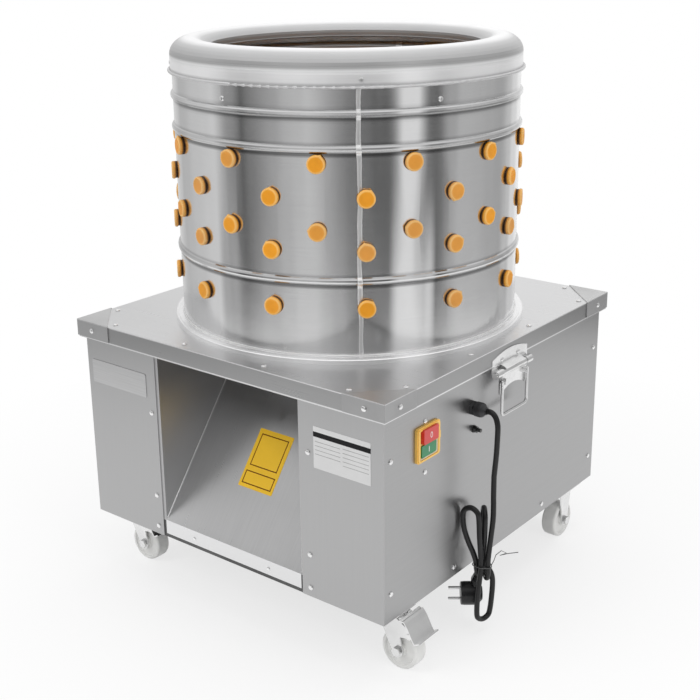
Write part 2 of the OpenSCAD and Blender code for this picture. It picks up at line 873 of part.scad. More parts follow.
// Two ball bearings, each seated on a shoulder of the housing, and a lip seal on the upper one
module bearings() {
    color(bright_zinc)
    for (z = [housing_z, under_z - bearing_w])
        translate([0, 0, z])
            rotate_extrude()
                polygon([[shaft_r + run_fit, 0], [shaft_r + 4, 0], [shaft_r + 4, 1], [bearing_r - 4, 1],
                    [bearing_r - 4, 0], [bearing_r - run_fit, 0], [bearing_r - run_fit, bearing_w],
                    [bearing_r - 4, bearing_w], [bearing_r - 4, bearing_w - 1], [shaft_r + 4, bearing_w - 1],
                    [shaft_r + 4, bearing_w], [shaft_r + run_fit, bearing_w]]);
    color(black)
    translate([0, 0, under_z + slip])
        rotate_extrude()
            polygon([[shaft_r + run_fit, 2], [shaft_r + 3, 2], [shaft_r + 5, 0], [bearing_r - run_fit, 0],
                [bearing_r - run_fit, seal_h], [shaft_r + 5, seal_h], [shaft_r + run_fit, 4]]);
}

module motor_plate() {
    color(dark_steel)
    difference() {
        translate([-motor_plate_w / 2, motor_y - motor_plate_d / 2, motor_top])
            cube([motor_plate_w, motor_plate_d, motor_plate_t]);
        translate([0, motor_y, motor_plate_z]) drill(motor_spigot_r);
        motor_bolt_places() drill(screw_r + 2);
        motor_flange_bolt_places() drill(screw_r + 1);
    }
}

// Finned motor case with its end cover and terminal box
module motor_body() {
    case_z = motor_top - motor_h;
    cover_h = motor_h / 5;
    color(dark_steel)
    translate([0, motor_y, 0]) {
        difference() {
            union() {
                translate([0, 0, case_z + cover_h]) cylinder(h = motor_h - cover_h, r = motor_r);
                translate([0, 0, motor_top - 1]) cylinder(h = motor_spigot_h + 1, r = motor_spigot_r);
                for (i = [0 : motor_fins - 1])
                    rotate([0, 0, (i + 0.5) * 360 / motor_fins])
                        translate([motor_r - 2, -fin_t / 2, case_z + cover_h + 8])
                            cube([fin_out + 2, fin_t, motor_h - cover_h - 20]);
            }
            translate([0, 0, motor_top - 12]) cylinder(h = through, r = motor_shaft_r + run_fit);
            translate([0, -motor_y, 0]) motor_flange_bolt_places() drill(screw_r + 1);
            translate([motor_r - 6, -22, case_z + motor_h / 2 - 26]) cube([20, 44, 52]);
        }
        translate([0, 0, case_z])
            rotate_extrude()
                polygon([[0, 0], [motor_r - 10, 0], [motor_r, 8], [motor_r + 2, 12], [motor_r + 2, cover_h],
                    [0, cover_h]]);
        translate([motor_r - 6, -22, case_z + motor_h / 2 - 26]) cube([30, 44, 52]);
    }
}

module drive_bolts() {
    color(bright_zinc) {
        motor_bolt_places() hex_bolt(screw_r + 2, motor_plate_t + beam_t + 6, 7.5, 5);
        motor_flange_bolt_places() hex_bolt(screw_r + 1, motor_plate_t + 12, 5.8, 4);
        housing_bolt_places() hex_bolt(screw_r + 1, tray_t + housing_flange_t + 4, 5.8, 4);
    }
}

module belt_outline(grow) {
    hull() {
        circle(r = pulley_r + grow, $fn = 72);
        translate([0, motor_y]) circle(r = motor_pulley_r + grow, $fn = 36);
    }
}

module drive_belt() {
    color(black)
    translate([0, 0, pulley_z + (pulley_w - belt_w) / 2])
        linear_extrude(height = belt_w)
            difference() {
                belt_outline(belt_gap + belt_t);
                belt_outline(belt_gap);
            }
}

// Drum wall: a straight tube with three rolled beads, drawn as one outline
module drum_shell() {
    bulge_r = (bead_h * bead_h / 4 + bead_out * bead_out) / (2 * bead_out);
    bulge_c = drum_r + bead_out - bulge_r;
    half_out = asin(bead_h / 2 / bulge_r);
    half_in = acos((drum_in - bulge_c) / (bulge_r - drum_t));
    outer = [for (z = bead_levels) each arc([bulge_c, z], bulge_r, -half_out, half_out, 6)];
    inner = [for (z = flipped(bead_levels)) each arc([bulge_c, z], bulge_r - drum_t, half_in, -half_in, 6)];
    color(steel)
    difference() {
        translate([0, 0, top_z])
            rotate_extrude($fn = 128)
                polygon(concat([[drum_in, 0], [drum_r, 0]], outer, [[drum_r, drum_h], [drum_in, drum_h]], inner));
        finger_places() translate([0, 0, -through / 2]) cylinder(h = through, r = finger_hole);
        lid_rivet_places() drill(rivet_r);
        clip_screw_places() drill(screw_r);
        rotate([0, 0, inlet_turn])
            translate([drum_r, 0, top_z + hose_z - inlet_drop]) facing_right() drill(inlet_r);
    }
}

module drum_flange() {
    step_in = 4;
    color(steel)
    translate([0, 0, top_z])
        rotate_extrude($fn = 128)
            polygon([[drum_r + slip, 0], [drum_r + foot_ring_w, 0], [drum_r + foot_ring_w, foot_ring_h - 3],
                [drum_r + foot_ring_w - 1, foot_ring_h - 2], [drum_r + foot_ring_w - step_in, foot_ring_h - 2],
                [drum_r + foot_ring_w - step_in, foot_ring_h], [drum_r + slip, foot_ring_h]]);
}

// Domed lid ring: rolled edge, collar over the drum wall, dome and straight mouth
module drum_lid() {
    dome_c = lid_out - dome_reach;
    outer = [for (i = [0 : 14]) let(a = dome_end * i / 14)
        [dome_c + dome_reach * cos(a), dome_z + dome_h * sin(a)]];
    inner = [for (i = [14 : -1 : 0]) let(a = dome_end * i / 14)
        [dome_c + (dome_reach - lid_t) * cos(a), dome_z + (dome_h - lid_t) * sin(a)]];
    rim_z = dome_z + dome_h * sin(dome_end);
    color(steel)
    difference() {
        union() {
            rotate_extrude($fn = 128)
                polygon(concat([[lid_in, collar_z], [lid_out, collar_z]], outer,
                    [[mouth_r, rim_z], [mouth_r, rim_z - mouth_h], [mouth_r + lid_t, rim_z - mouth_h],
                        [mouth_r + lid_t, rim_z - lid_t]], inner));
            translate([0, 0, collar_z])
                rotate_extrude($fn = 128)
                    translate([lid_out + curl_r - 0.5, 0]) circle(r = curl_r, $fn = 24);
        }
        lid_rivet_places() drill(rivet_r);
    }
}

module lid_rivet_places() {
    for (a = [0 : 90 : 270])
        rotate([0, 0, lid_rivet_turn + a]) translate([lid_out, 0, collar_z + lid_rivet_up]) facing_right() children();
}

module clip_screw_places() {
    for (a = clip_turns)
        rotate([0, 0, a]) translate([drum_r, 0, top_z + hose_z - clip_drop]) facing_right() children();
}

module drum_rivets() {
    color(bright_zinc) {
        lid_rivet_places() translate([0, 0, slip]) pan_screw(rivet_r, lid_out - drum_in + rivet_tail, 3.4, 1.6);
        clip_screw_places() translate([0, 0, slip]) pan_screw(screw_r, 6, 3.8, 2);
    }
}

// Places of the drum's fingers: +Z points inwards, z = 0 at the seat of the head
module finger_places() {
    for (i = [ceil(-finger_columns / 2) : ceil(finger_columns / 2) - 1])
        for (z = i % 2 == 0 ? finger_rows_even : finger_rows_odd)
            rotate([0, 0, finger_start + i * 360 / finger_columns])
                translate([drum_r + slip, 0, top_z + z]) facing_left() children();
}

// Rubber finger: head, neck in the sheet, shoulder and a tapered ribbed body
module finger(neck) {
    root = neck + shoulder_h;
    pitch = (finger_len - 6) / finger_ribs;
    ribs = [for (i = [0 : finger_ribs - 1])
        let(r = finger_r + (finger_tip_r - finger_r) * i / finger_ribs, s = root + i * pitch)
            each [[r, s + pitch * 0.15], [r, s + pitch * 0.6], [r - 1.3, s + pitch * 0.75], [r - 1.3, s + pitch]]];
    rotate_extrude($fn = 32)
        polygon(concat([[0, -head_h], [head_r - 3, -head_h], [head_r, -head_h + 2.5], [head_r, 0], [neck_r, 0],
            [neck_r, neck], [shoulder_r, neck], [shoulder_r, root - 1], [finger_r, root]], ribs,
            [[finger_tip_r - 1.3, root + finger_len - 3], [finger_tip_r / 2, root + finger_len], [0, root + finger_len]]));
}

module drum_fingers() {
    color(amber) finger_places() finger(drum_t + finger_seat + slip);
}

module spray_hose() {
    color(steel)
    translate([0, 0, top_z + hose_z])
        rotate([0, 0, inlet_turn + tee_half])
            rotate_extrude(angle = 360 - 2 * tee_half, $fn = 128)
                translate([hose_ring_r, 0]) circle(r = hose_r, $fn = 32);
}

module hose_clips() {
    color(bright_zinc)
    for (a = clip_turns)
        rotate([0, 0, a])
            translate([hose_ring_r, -clip_w / 2, top_z + hose_z]) {
                wall = drum_in - hose_ring_r - slip;
                difference() {
                    union() {
                        translate([0, clip_w, 0]) rotate([90, 0, 0]) cylinder(h = clip_w, r = hose_r + slip + clip_t);
                        translate([wall - clip_t, 0, -clip_drop - 7]) cube([clip_t, clip_w, clip_drop + 7]);
                    }
                    translate([0, clip_w + 1, 0]) rotate([90, 0, 0]) cylinder(h = clip_w + 2, r = hose_r + slip);
                    translate([wall, clip_w / 2, -clip_drop]) facing_right() drill(screw_r);
                }
            }
}

// Tee piece in the spray ring with an elbow through the wall, a nut and a hose thread outside the drum
module water_inlet() {
    color([0.8, 0.65, 0.35])
    translate([0, 0, top_z + hose_z])
        rotate([0, 0, inlet_turn]) {
            rotate([0, 0, -tee_half])
                rotate_extrude(angle = 2 * tee_half, $fn = 128)
                    translate([hose_ring_r, 0]) circle(r = hose_r + tee_wall, $fn = 32);
            translate([hose_ring_r, 0, -inlet_drop]) cylinder(h = inlet_drop, r = inlet_r);
            translate([hose_ring_r, 0, -inlet_drop]) sphere(r = inlet_r);
            translate([hose_ring_r, 0, -inlet_drop])
                facing_right() cylinder(h = drum_r - hose_ring_r + 12, r = inlet_r);
            translate([drum_r + slip, 0, -inlet_drop])
                facing_right() cylinder(h = 8, r = inlet_end_r + 3, $fn = 6);
            translate([drum_r + 7, 0, -inlet_drop])
                facing_right() cylinder(h = inlet_len + 1 + slip, r = inlet_end_r);
        }
}

module switch_box() {
    color(black)
    translate([px, -switch_y, switch_z])
        difference() {
            translate([-box_deep, -box_w / 2, -box_h / 2]) cube([box_deep, box_w, box_h]);
            translate([-pocket_deep, 0, 0]) stop_shape(pocket_deep + 1, move_gap);
            translate([-pocket_deep, 0, 0]) start_shape(pocket_deep + 1, move_gap);
        }
}

// Outlines of the two buttons, extruded along +X and grown by a gap
module stop_shape(length, gap) {
    translate([0, 0, stop_low + stop_h / 2]) button_block(length, stop_h + 2 * gap, gap);
}
module start_shape(length, gap) {
    translate([0, 0, stop_low - button_gap - start_h / 2]) button_block(length, start_h + 2 * gap, gap);
}
module button_block(length, high, gap) {
    rotate([90, 0, 90])
        linear_extrude(height = length) polygon(round_rect(button_w + 2 * gap, high, 2));
}

module switch_frame() {
    color([0.95, 0.75, 0.15])
    translate([px, -switch_y, switch_z])
        difference() {
            union() {
                rotate([90, 0, 90])
                    linear_extrude(height = switch_t - 1.5) polygon(round_rect(switch_w, switch_h, 5));
                rotate([90, 0, 90])
                    linear_extrude(height = switch_t) polygon(round_rect(switch_w - 3, switch_h - 3, 4));
                translate([0, switch_w / 2 - 1, -4]) cube([3, 4.5, 11]);
            }
            translate([switch_t - 2.5, 0, 0])
                rotate([90, 0, 90])
                    linear_extrude(height = switch_t) polygon(round_rect(switch_w - 12, switch_h - 8, 2.5));
            translate([-1, 0, 0]) stop_shape(switch_t + 2, move_gap);
            translate([-1, 0, 0]) start_shape(switch_t + 2, move_gap);
        }
}

module stop_button() {
    color([0.85, 0.12, 0.1])
    translate([px - pocket_deep + button_travel + move_gap, -switch_y, switch_z])
        stop_shape(pocket_deep - button_travel - move_gap + stop_out, 0);
}

module start_button() {
    color([0.15, 0.6, 0.3])
    translate([px - pocket_deep + button_travel + move_gap, -switch_y, switch_z])
        start_shape(pocket_deep - button_travel - move_gap + start_out, 0);
}

// Cable gland: thread through the panel, locknut inside, hexagon and dome nut outside
module cable_gland() {
    color(black)
    translate([px, -gland_y, gland_z])
        facing_right() {
            cylinder(h = 6, r = gland_r, $fn = 6);
            translate([0, 0, -12]) cylinder(h = 13, r = gland_r * 2 / 3);
            rotate_extrude()
                polygon(concat([[0, 5], [gland_r * 0.82, 5], [gland_r * 0.95, 8], [gland_r * 0.95, 16]],
                    arc([gland_r * 0.55, 17], gland_r * 0.38, 0, 60, 4),
                    [[gland_face_r, gland_end - 2], [gland_face_r - 0.5, gland_end], [0, gland_end]]));
            translate([0, 0, -panel_t - 5])
                difference() {
                    cylinder(h = 5, r = gland_r, $fn = 6);
                    translate([0, 0, -1]) cylinder(h = 7, r = gland_r * 2 / 3 - slip);
                }
        }
}

module latch_rivet_places() {
    for (s = [-1, 1])
        translate([latch_x, s * latch_rivet_y, latch_rivet_z]) facing_right() children();
}

// Latch base, drawn on the right: arched plate, two curled ears and a bent stop tongue
module latch_plate() {
    half = latch_w / 2;
    ear_w = half - ear_in;
    difference() {
        union() {
            translate([tray_x, 0, 0])
                rotate([90, 0, 90])
                    linear_extrude(height = panel_t)
                        polygon(concat([[-half, latch_pin_z], [-ear_in, latch_pin_z], [-ear_in, latch_low],
                            [ear_in, latch_low], [ear_in, latch_pin_z], [half, latch_pin_z]],
                            [for (i = [0 : 10]) [half * (1 - i / 5),
                                latch_side_z + latch_arch * (1 - pow(1 - i / 5, 2))]]));
            for (s = [-1, 1])
                translate([latch_pin_x, s * (ear_in + half) / 2 - ear_w / 2, latch_pin_z])
                    rotate([-90, 0, 0]) cylinder(h = ear_w, r = knuckle_r);
            translate([0, tongue_half, 0])
                rotate([90, 0, 0])
                    linear_extrude(height = 2 * tongue_half)
                        polygon(bent([[latch_x - 0.5, latch_low + 5.2], [latch_x + 11.5, latch_low]], -panel_t));
        }
        translate([latch_pin_x, -latch_w, latch_pin_z]) rotate([-90, 0, 0]) cylinder(h = 2 * latch_w, r = pin_r + run_fit / 2);
        latch_rivet_places() drill(rivet_r);
    }
}

module latch_plates() {
    color(bright_zinc) {
        latch_plate();
        mirror([1, 0, 0]) latch_plate();
    }
}

module latch_pin() {
    translate([latch_pin_x, -latch_w / 2 - 1.5, latch_pin_z])
        rotate([-90, 0, 0]) {
            cylinder(h = latch_w + 3, r = pin_r);
            cylinder(h = 1.5, r = pin_r + 1.2);
            translate([0, 0, latch_w + 1.5]) cylinder(h = 1.5, r = pin_r + 1.2);
        }
    latch_rivet_places() pan_screw(rivet_r, 5, 4, 1.8);
}

module latch_pins() {
    color(bright_zinc) {
        latch_pin();
        mirror([1, 0, 0]) latch_pin();
    }
}

// Latch lever, drawn on the right: knuckle, leaf with a hollow lower edge and two lugs for the bail
module latch_lever() {
    leaf_x = latch_pin_x - leaf_t / 2 - 0.2;
    low_z = latch_pin_z - leaf_len;
    wide_z = latch_pin_z - knuckle_r - 1.2;
    difference() {
        union() {
            translate([latch_pin_x, -lever_half, latch_pin_z])
                rotate([-90, 0, 0]) cylinder(h = 2 * lever_half, r = knuckle_r - 1);
            translate([leaf_x, 0, 0])
                rotate([90, 0, 90])
                    linear_extrude(height = leaf_t)
                        polygon(concat([[lever_half, wide_z], [lever_half, latch_pin_z - pin_r - 1],
                            [-lever_half, latch_pin_z - pin_r - 1], [-lever_half, wide_z], [-leaf_half, wide_z],
                            [-leaf_half, low_z]],
                            [for (i = [0 : 8]) [leaf_half * 0.9 * (i / 4 - 1), low_z + 10 * (1 - pow(i / 4 - 1, 2))]],
                            [[leaf_half, low_z], [leaf_half, wide_z]]));
            for (s = [-1, 1])
                translate([leaf_x + leaf_t / 2, s * lug_y - lug_t / 2, latch_pin_z - bail_drop - 5])
                    cube([latch_pin_x + bail_off + bail_r + lug_edge - leaf_x - leaf_t / 2, lug_t, 10]);
        }
        translate([latch_pin_x, -latch_w, latch_pin_z])
            rotate([-90, 0, 0]) cylinder(h = 2 * latch_w, r = pin_r + run_fit);
        translate([latch_pin_x + bail_off, -latch_w, latch_pin_z - bail_drop])
            rotate([-90, 0, 0]) cylinder(h = 2 * latch_w, r = bail_r + run_fit);
    }
}

module latch_lever_right() {
    color(bright_zinc) latch_lever();
}

module latch_lever_left() {
    color(bright_zinc) mirror([1, 0, 0]) latch_lever();
}

// Wire bail: a U whose ends turn inwards through the lugs
module latch_bail() {
    bend = 6;
    low_z = latch_pin_z - bail_drop - bail_len;
    translate([latch_pin_x + bail_off, 0, 0]) {
        for (s = [0, 1])
            mirror([0, s, 0]) {
                translate([0, lug_y - lug_t, latch_pin_z - bail_drop])
                    rotate([-90, 0, 0]) cylinder(h = bail_half - lug_y + lug_t, r = bail_r);
                translate([0, bail_half, latch_pin_z - bail_drop]) sphere(r = bail_r);
                translate([0, bail_half, low_z + bend]) cylinder(h = bail_len - bend, r = bail_r);
                translate([0, bail_half - bend, low_z + bend])
                    rotate([0, 90, 0])
                        rotate_extrude(angle = 90) translate([bend, 0]) circle(r = bail_r, $fn = 32);
            }
        translate([0, bend - bail_half, low_z])
            rotate([-90, 0, 0]) cylinder(h = 2 * (bail_half - bend), r = bail_r);
    }
}

module latch_bail_right() {
    color(bright_zinc) latch_bail();
}

module latch_bail_left() {
    color(bright_zinc) mirror([1, 0, 0]) latch_bail();
}

// Castor top plates with their ball races, kingpins and bolts
module castor_plates() {
    color(bright_zinc) {
        difference() {
            at_corners(castor_x, castor_y)
                translate([0, 0, base_z - castor_t])
                    linear_extrude(height = castor_t) polygon(round_rect(castor_plate, castor_plate, 5));
            castor_bolt_places() drill(screw_r + 1);
        }
        for (sx = [-1, 1])
            translate([sx * castor_x, -castor_y, 0])
                rotate_extrude()
                    polygon([[0, crown_z - 5], [kingpin_r + 4, crown_z - 5], [kingpin_r + 4, crown_z - 0.3],
                        [kingpin_r, crown_z - 0.3], [kingpin_r, crown_z + crown_t + 0.3],
                        [race_r - 2, crown_z + crown_t + 0.3], [race_r, crown_z + crown_t + 2],
                        [race_r, base_z - castor_t], [0, base_z - castor_t]]);
        castor_bolt_places() hex_bolt(screw_r + 1, castor_t + frame_t + 2, 5.8, 4);
    }
}

// Fork leg outline from a flat top edge down to the axle, in X and Z
function leg_outline(x0, x1, top, axle) =
    concat([[x0, top], [x1, top]],
        arc(axle, axle_boss_r, tangent_turn([x1, top], axle, axle_boss_r, -1),
            tangent_turn([x0, top], axle, axle_boss_r, 1) - 360, 12));

// Ear of the braked fork that carries the pedal's pin
function ear_outline(root, pin) =
    concat([[4, root], [20, root]],
        arc(pin, pedal_boss_r, tangent_turn([20, root], pin, pedal_boss_r, -1), -90, 8),
        [[14, pin[1] - pedal_boss_r - 6]]);

module upright(y, t) {
    translate([0, y + t, 0]) rotate([90, 0, 0]) linear_extrude(height = t) children();
}

module axle_bolt(length) {
    half = length / 2;
    translate([0, half, 0]) rotate([90, 0, 0]) cylinder(h = length, r = axle_r);
    for (s = [0, 1])
        mirror([0, s, 0]) translate([0, half, 0]) rotate([-90, 0, 0]) cylinder(h = 5, r = 7.5, $fn = 6);
}

// Swivel fork, drawn about its kingpin with the wheel trailing to +X
module front_fork() {
    axle = [trail, wheel_r];
    leg_top = crown_z + crown_t;
    difference() {
        union() {
            translate([0, 0, crown_z]) cylinder(h = crown_t, r = cup_r);
            difference() {
                translate([0, 0, crown_z]) cylinder(h = crown_t + 3, r = cup_r);
                translate([0, 0, crown_z - 1]) cylinder(h = crown_t + 6, r = race_r + move_gap);
            }
            translate([-17, -leg_y - fork_t, crown_z]) cube([37, 2 * (leg_y + fork_t), crown_t]);
            for (y = [-leg_y - fork_t, leg_y])
                upright(y, fork_t)
                    polygon(leg_outline(-17, 20, leg_top, axle));
            for (y = [-leg_y - fork_t, leg_y])
                upright(y, fork_t)
                    polygon(ear_outline(leg_top, pedal_pin));
        }
        translate([0, 0, crown_z - 1]) cylinder(h = crown_t + 2, r = kingpin_r + move_gap);
        translate([axle[0], through, axle[1]]) rotate([90, 0, 0]) cylinder(h = 2 * through, r = axle_r + run_fit);
        translate([pedal_pin[0], through, pedal_pin[1]])
            rotate([90, 0, 0]) cylinder(h = 2 * through, r = pedal_pin_r + run_fit);
    }
    translate([axle[0], 0, axle[1]]) axle_bolt(2 * (leg_y + fork_t + slip));
    translate([pedal_pin[0], 0, pedal_pin[1]])
        rotate([90, 0, 0]) {
            cylinder(h = 2 * (leg_y + fork_t + pedal_t + 1.4), r = pedal_pin_r, center = true);
            for (s = [-1, 1])
                translate([0, 0, s * (leg_y + fork_t + pedal_t + 1.6)])
                    cylinder(h = 2, r = pedal_pin_r + 1.5, center = true);
        }
}

module front_fork_right() {
    color(bright_zinc) translate([castor_x, -castor_y, 0]) front_fork();
}

module front_fork_left() {
    color(bright_zinc) translate([-castor_x, -castor_y, 0]) front_fork();
}

// Brake pedal: ribbed top, slope and turned-up toe on two cheeks that ride the pin
module brake_pedal() {
    toe_x = pedal_pin[0] - 16 + pedal_len;
    top = [[29, 89], [32, 91.5], [35, 89.8], [38, 91.5], [41, 88.5], [46, 82], [54, 67], [toe_x - 8, 60.5], [toe_x, 65]];
    cheek_y = leg_y + fork_t + move_gap;
    difference() {
        union() {
            upright(-pedal_w / 2, pedal_w) polygon(bent(top, -pedal_t));
            for (y = [-cheek_y - pedal_t, cheek_y])
                upright(y, pedal_t)
                    polygon(concat([[38, 89], [41, 87], [46, 81], [54, 66]],
                        arc(pedal_pin, pedal_boss_r - 0.5, -20, -170, 8)));
        }
        translate([pedal_pin[0], through, pedal_pin[1]])
            rotate([90, 0, 0]) cylinder(h = 2 * through, r = pedal_pin_r + run_fit);
    }
}

module brake_pedal_right() {
    color(bright_zinc) translate([castor_x, -castor_y, 0]) brake_pedal();
}

module brake_pedal_left() {
    color(bright_zinc) translate([-castor_x, -castor_y, 0]) brake_pedal();
}

// Fixed rear fork, drawn about its plate with the wheel rolling along Y
module rear_fork() {
    leg_top = base_z - castor_t;
    rotate([0, 0, 90]) {
        difference() {
            union() {
                translate([-20, -leg_y - fork_t, leg_top - crown_t]) cube([40, 2 * (leg_y + fork_t), crown_t]);
                for (y = [-leg_y - fork_t, leg_y])
                    upright(y, fork_t)
                        polygon(leg_outline(-20, 20, leg_top, [0, wheel_r]));
            }
            translate([0, through, wheel_r]) rotate([90, 0, 0]) cylinder(h = 2 * through, r = axle_r + run_fit);
        }
        translate([0, 0, wheel_r]) axle_bolt(2 * (leg_y + fork_t + slip));
    }
}

module rear_forks() {
    color(bright_zinc)
    for (sx = [-1, 1])
        translate([sx * castor_x, castor_y, 0]) rear_fork();
}

// Nylon wheel about a Y axle: rounded tread, sunk web and hub
module wheel() {
    half = wheel_w / 2;
    side = concat([[axle_r + run_fit, half + 1], [11, half + 1], [12, half - 3], [wheel_r - 8, half - 3],
        [wheel_r - 6, half]], arc([wheel_r - 4, half - 4], 4, 90, 0, 5));
    rotate([90, 0, 0])
        rotate_extrude($fn = 96)
            polygon(concat(side, flipped([for (p = side) [p[0], -p[1]]])));
}

module front_wheel_right() {
    color(white_nylon) translate([castor_x + trail, -castor_y, wheel_r]) wheel();
}

module front_wheel_left() {
    color(white_nylon) translate([trail - castor_x, -castor_y, wheel_r]) wheel();
}

module rear_wheel_right() {
    color(white_nylon) translate([castor_x, castor_y, wheel_r]) rotate([0, 0, 90]) wheel();
}

module rear_wheel_left() {
    color(white_nylon) translate([-castor_x, castor_y, wheel_r]) rotate([0, 0, 90]) wheel();
}

// Keeps the cord in its gland when the panel or the gland moves
module from_gland() {
    translate([px + gland_end, -gland_y, gland_z] - cord_route[0]) children();
}

module at_hank() {
    from_gland() translate([hank_x, hank_y, 0]) rotate([0, 0, hank_turn]) children();
}

module power_cord() {
    color(black) from_gland() tube(cord_path, cord_r, cord_sides);
}

module cord_hank() {
    color(black) at_hank() tube(hank_path, cord_r, hank_sides);
}

// Wire tie: a band round the strands and a loosely twisted tail
module cord_tie() {
    color([0.45, 0.45, 0.45])
    at_hank() {
        translate([0, 0, tie_z])
            linear_extrude(height = tie_wire)
                difference() {
                    strand_outline(cord_r + tie_gap + tie_wire);
                    strand_outline(cord_r + tie_gap);
                }
        tube(tie_tail, tie_wire / 2, 6);
    }
}

module strand_outline(r) {
    hull()
        for (p = tie_strands)
            translate(p) circle(r = r, $fn = 24);
}

// Moulded side-entry plug with two pins
module plug() {
    color(black)
    at_hank()
        translate([plug_u, plug_v, plug_z]) {
            facing_right()
                rotate_extrude()
                    polygon([[0, 0], [plug_r - 2, 0], [plug_r - 0.5, 1], [plug_r, 6], [plug_r, plug_len - 8],
                        [plug_r - 8, plug_len], [0, plug_len]]);
            translate([plug_len - 10, -2, 0]) cylinder(h = 26, r = 8);
            translate([plug_len - 10, -2, 26]) sphere(r = 8);
            translate([plug_len - 10, -2, 26])
                rotate([atan2(10, 13), 0, 0]) cylinder(h = norm([10, 13]), r1 = 7.6, r2 = boot_r);
        }
    color(bright_zinc)
    at_hank()
        for (s = [-1, 1])
            translate([plug_u - plug_pin_len - slip, plug_v, plug_z + s * pin_gap / 2])
                facing_right() cylinder(h = plug_pin_len, r = plug_pin_r);
}

module feather_plate() {
    color(steel)
    difference() {
        translate([0, 0, plate_z]) cylinder(h = plate_t, r = plate_r, $fn = 128);
        translate([0, 0, plate_z]) drill(stud_shaft_r);
        plate_finger_places() translate([0, 0, -1]) cylinder(h = plate_t + 2, r = finger_hole);
    }
}

module plate_finger_places() {
    for (ring = plate_rings, i = [0 : ring[1] - 1])
        rotate([0, 0, (i + 0.5) * 360 / ring[1]]) translate([ring[0], 0, plate_z]) children();
}

module plate_fingers() {
    color(amber) plate_finger_places() finger(plate_t);
}

module plate_paddles() {
    color(steel)
    for (a = [0 : 90 : 270])
        rotate([0, 0, a])
            translate([paddle_in, -paddle_t / 2, plate_z - paddle_h])
                cube([plate_r - paddle_out - paddle_in, paddle_t, paddle_h]);
}

// Shaft with its hub flange, and the nuts on both ends
module drive_shaft() {
    nut_h = 13;
    low_nut_h = 8;
    nut_gap = 0.5;
    color(bright_zinc) {
        translate([0, 0, pulley_z + nut_gap]) cylinder(h = plate_z - pulley_z - nut_gap, r = shaft_r);
        translate([0, 0, plate_z - hub_t]) cylinder(h = hub_t, r = hub_r);
        translate([0, 0, plate_z - 1]) cylinder(h = plate_t + nut_h, r = stud_shaft_r);
        translate([0, 0, pulley_z - low_nut_h - 4]) cylinder(h = low_nut_h + 5, r = stud_shaft_r);
        translate([0, 0, plate_z + plate_t])
            difference() {
                union() {
                    cylinder(h = 2, r = nut_r + 4);
                    translate([0, 0, 2]) cylinder(h = nut_h - 2, r = nut_r, $fn = 6);
                    translate([0, 0, nut_h - 0.5])
                        rotate_extrude() polygon(concat([[0, 0]], arc([0, 0], nut_r - 3, 0, 90, 6)));
                }
                translate([0, 0, -1]) cylinder(h = nut_h + 0.6, r = stud_shaft_r + run_fit);
            }
        translate([0, 0, pulley_z - low_nut_h])
            difference() {
                cylinder(h = low_nut_h, r = nut_r, $fn = 6);
                translate([0, 0, -1]) cylinder(h = low_nut_h + 2, r = stud_shaft_r + run_fit);
            }
    }
}

// Ribbed rim outline of a pulley, from its lower to its upper edge
function rim(r) =
    concat([[r, 0]],
        [for (i = [0 : groove_count - 1])
            let(s = 2 + i * (pulley_w - 4) / groove_count, w = (pulley_w - 4) / groove_count)
                each [[r, s + w * 0.1], [r - groove_deep, s + w * 0.4], [r - groove_deep, s + w * 0.6], [r, s + w * 0.9]]],
        [[r, pulley_w]]);

module driven_pulley() {
    web_t = 8;
    rim_in = pulley_r - 12;
    color(dark_steel)
    translate([0, 0, pulley_z])
        difference() {
            rotate_extrude($fn = 128)
                polygon(concat(rim(pulley_r), [[rim_in, pulley_w], [rim_in, (pulley_w + web_t) / 2],
                    [pulley_hub_r, (pulley_w + web_t) / 2], [pulley_hub_r, pulley_w], [shaft_r + run_fit, pulley_w],
                    [shaft_r + run_fit, 0], [pulley_hub_r, 0], [pulley_hub_r, (pulley_w - web_t) / 2],
                    [rim_in, (pulley_w - web_t) / 2], [rim_in, 0]]));
            for (a = [0 : 60 : 300])
                rotate([0, 0, a]) translate([(rim_in + pulley_hub_r) / 2, 0, pulley_w / 2])
                    drill((rim_in - pulley_hub_r) / 2 - 16);
        }
}

module motor_shaft() {
    color(bright_zinc)
    translate([0, motor_y, motor_top - 10]) cylinder(h = pulley_top - motor_top + 14, r = motor_shaft_r);
}

module motor_pulley() {
    color(dark_steel)
    translate([0, motor_y, pulley_z])
        rotate_extrude()
            polygon(concat(rim(motor_pulley_r), [[motor_shaft_r + run_fit, pulley_w], [motor_shaft_r + run_fit, 0]]));
}

base_frame();
side_panel_right();
side_panel_left();
rear_panel();
front_panel_left();
front_panel_right();
chute_walls();
chute_floor();
chute_header();
top_tray();
corner_caps();
tray_screws();
panel_screws();
motor_beams();
bearing_housing();
bearings();
motor_plate();
motor_body();
drive_bolts();
drive_belt();
drum_shell();
drum_flange();
drum_lid();
drum_rivets();
drum_fingers();
spray_hose();
hose_clips();
water_inlet();
switch_box();
switch_frame();
cable_gland();
latch_plates();
latch_pins();
castor_plates();
rear_forks();
power_cord();
cord_hank();
cord_tie();
plug();
feather_plate();
plate_paddles();
plate_fingers();
drive_shaft();
driven_pulley();
motor_shaft();
motor_pulley();
stop_button();
start_button();
latch_lever_right();
latch_lever_left();
latch_bail_right();
latch_bail_left();
front_fork_right();
front_fork_left();
front_wheel_right();
front_wheel_left();
rear_wheel_right();
rear_wheel_left();
brake_pedal_right();
brake_pedal_left();
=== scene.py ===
import bmesh
import bpy
import math
import random
from mathutils import Matrix, Vector


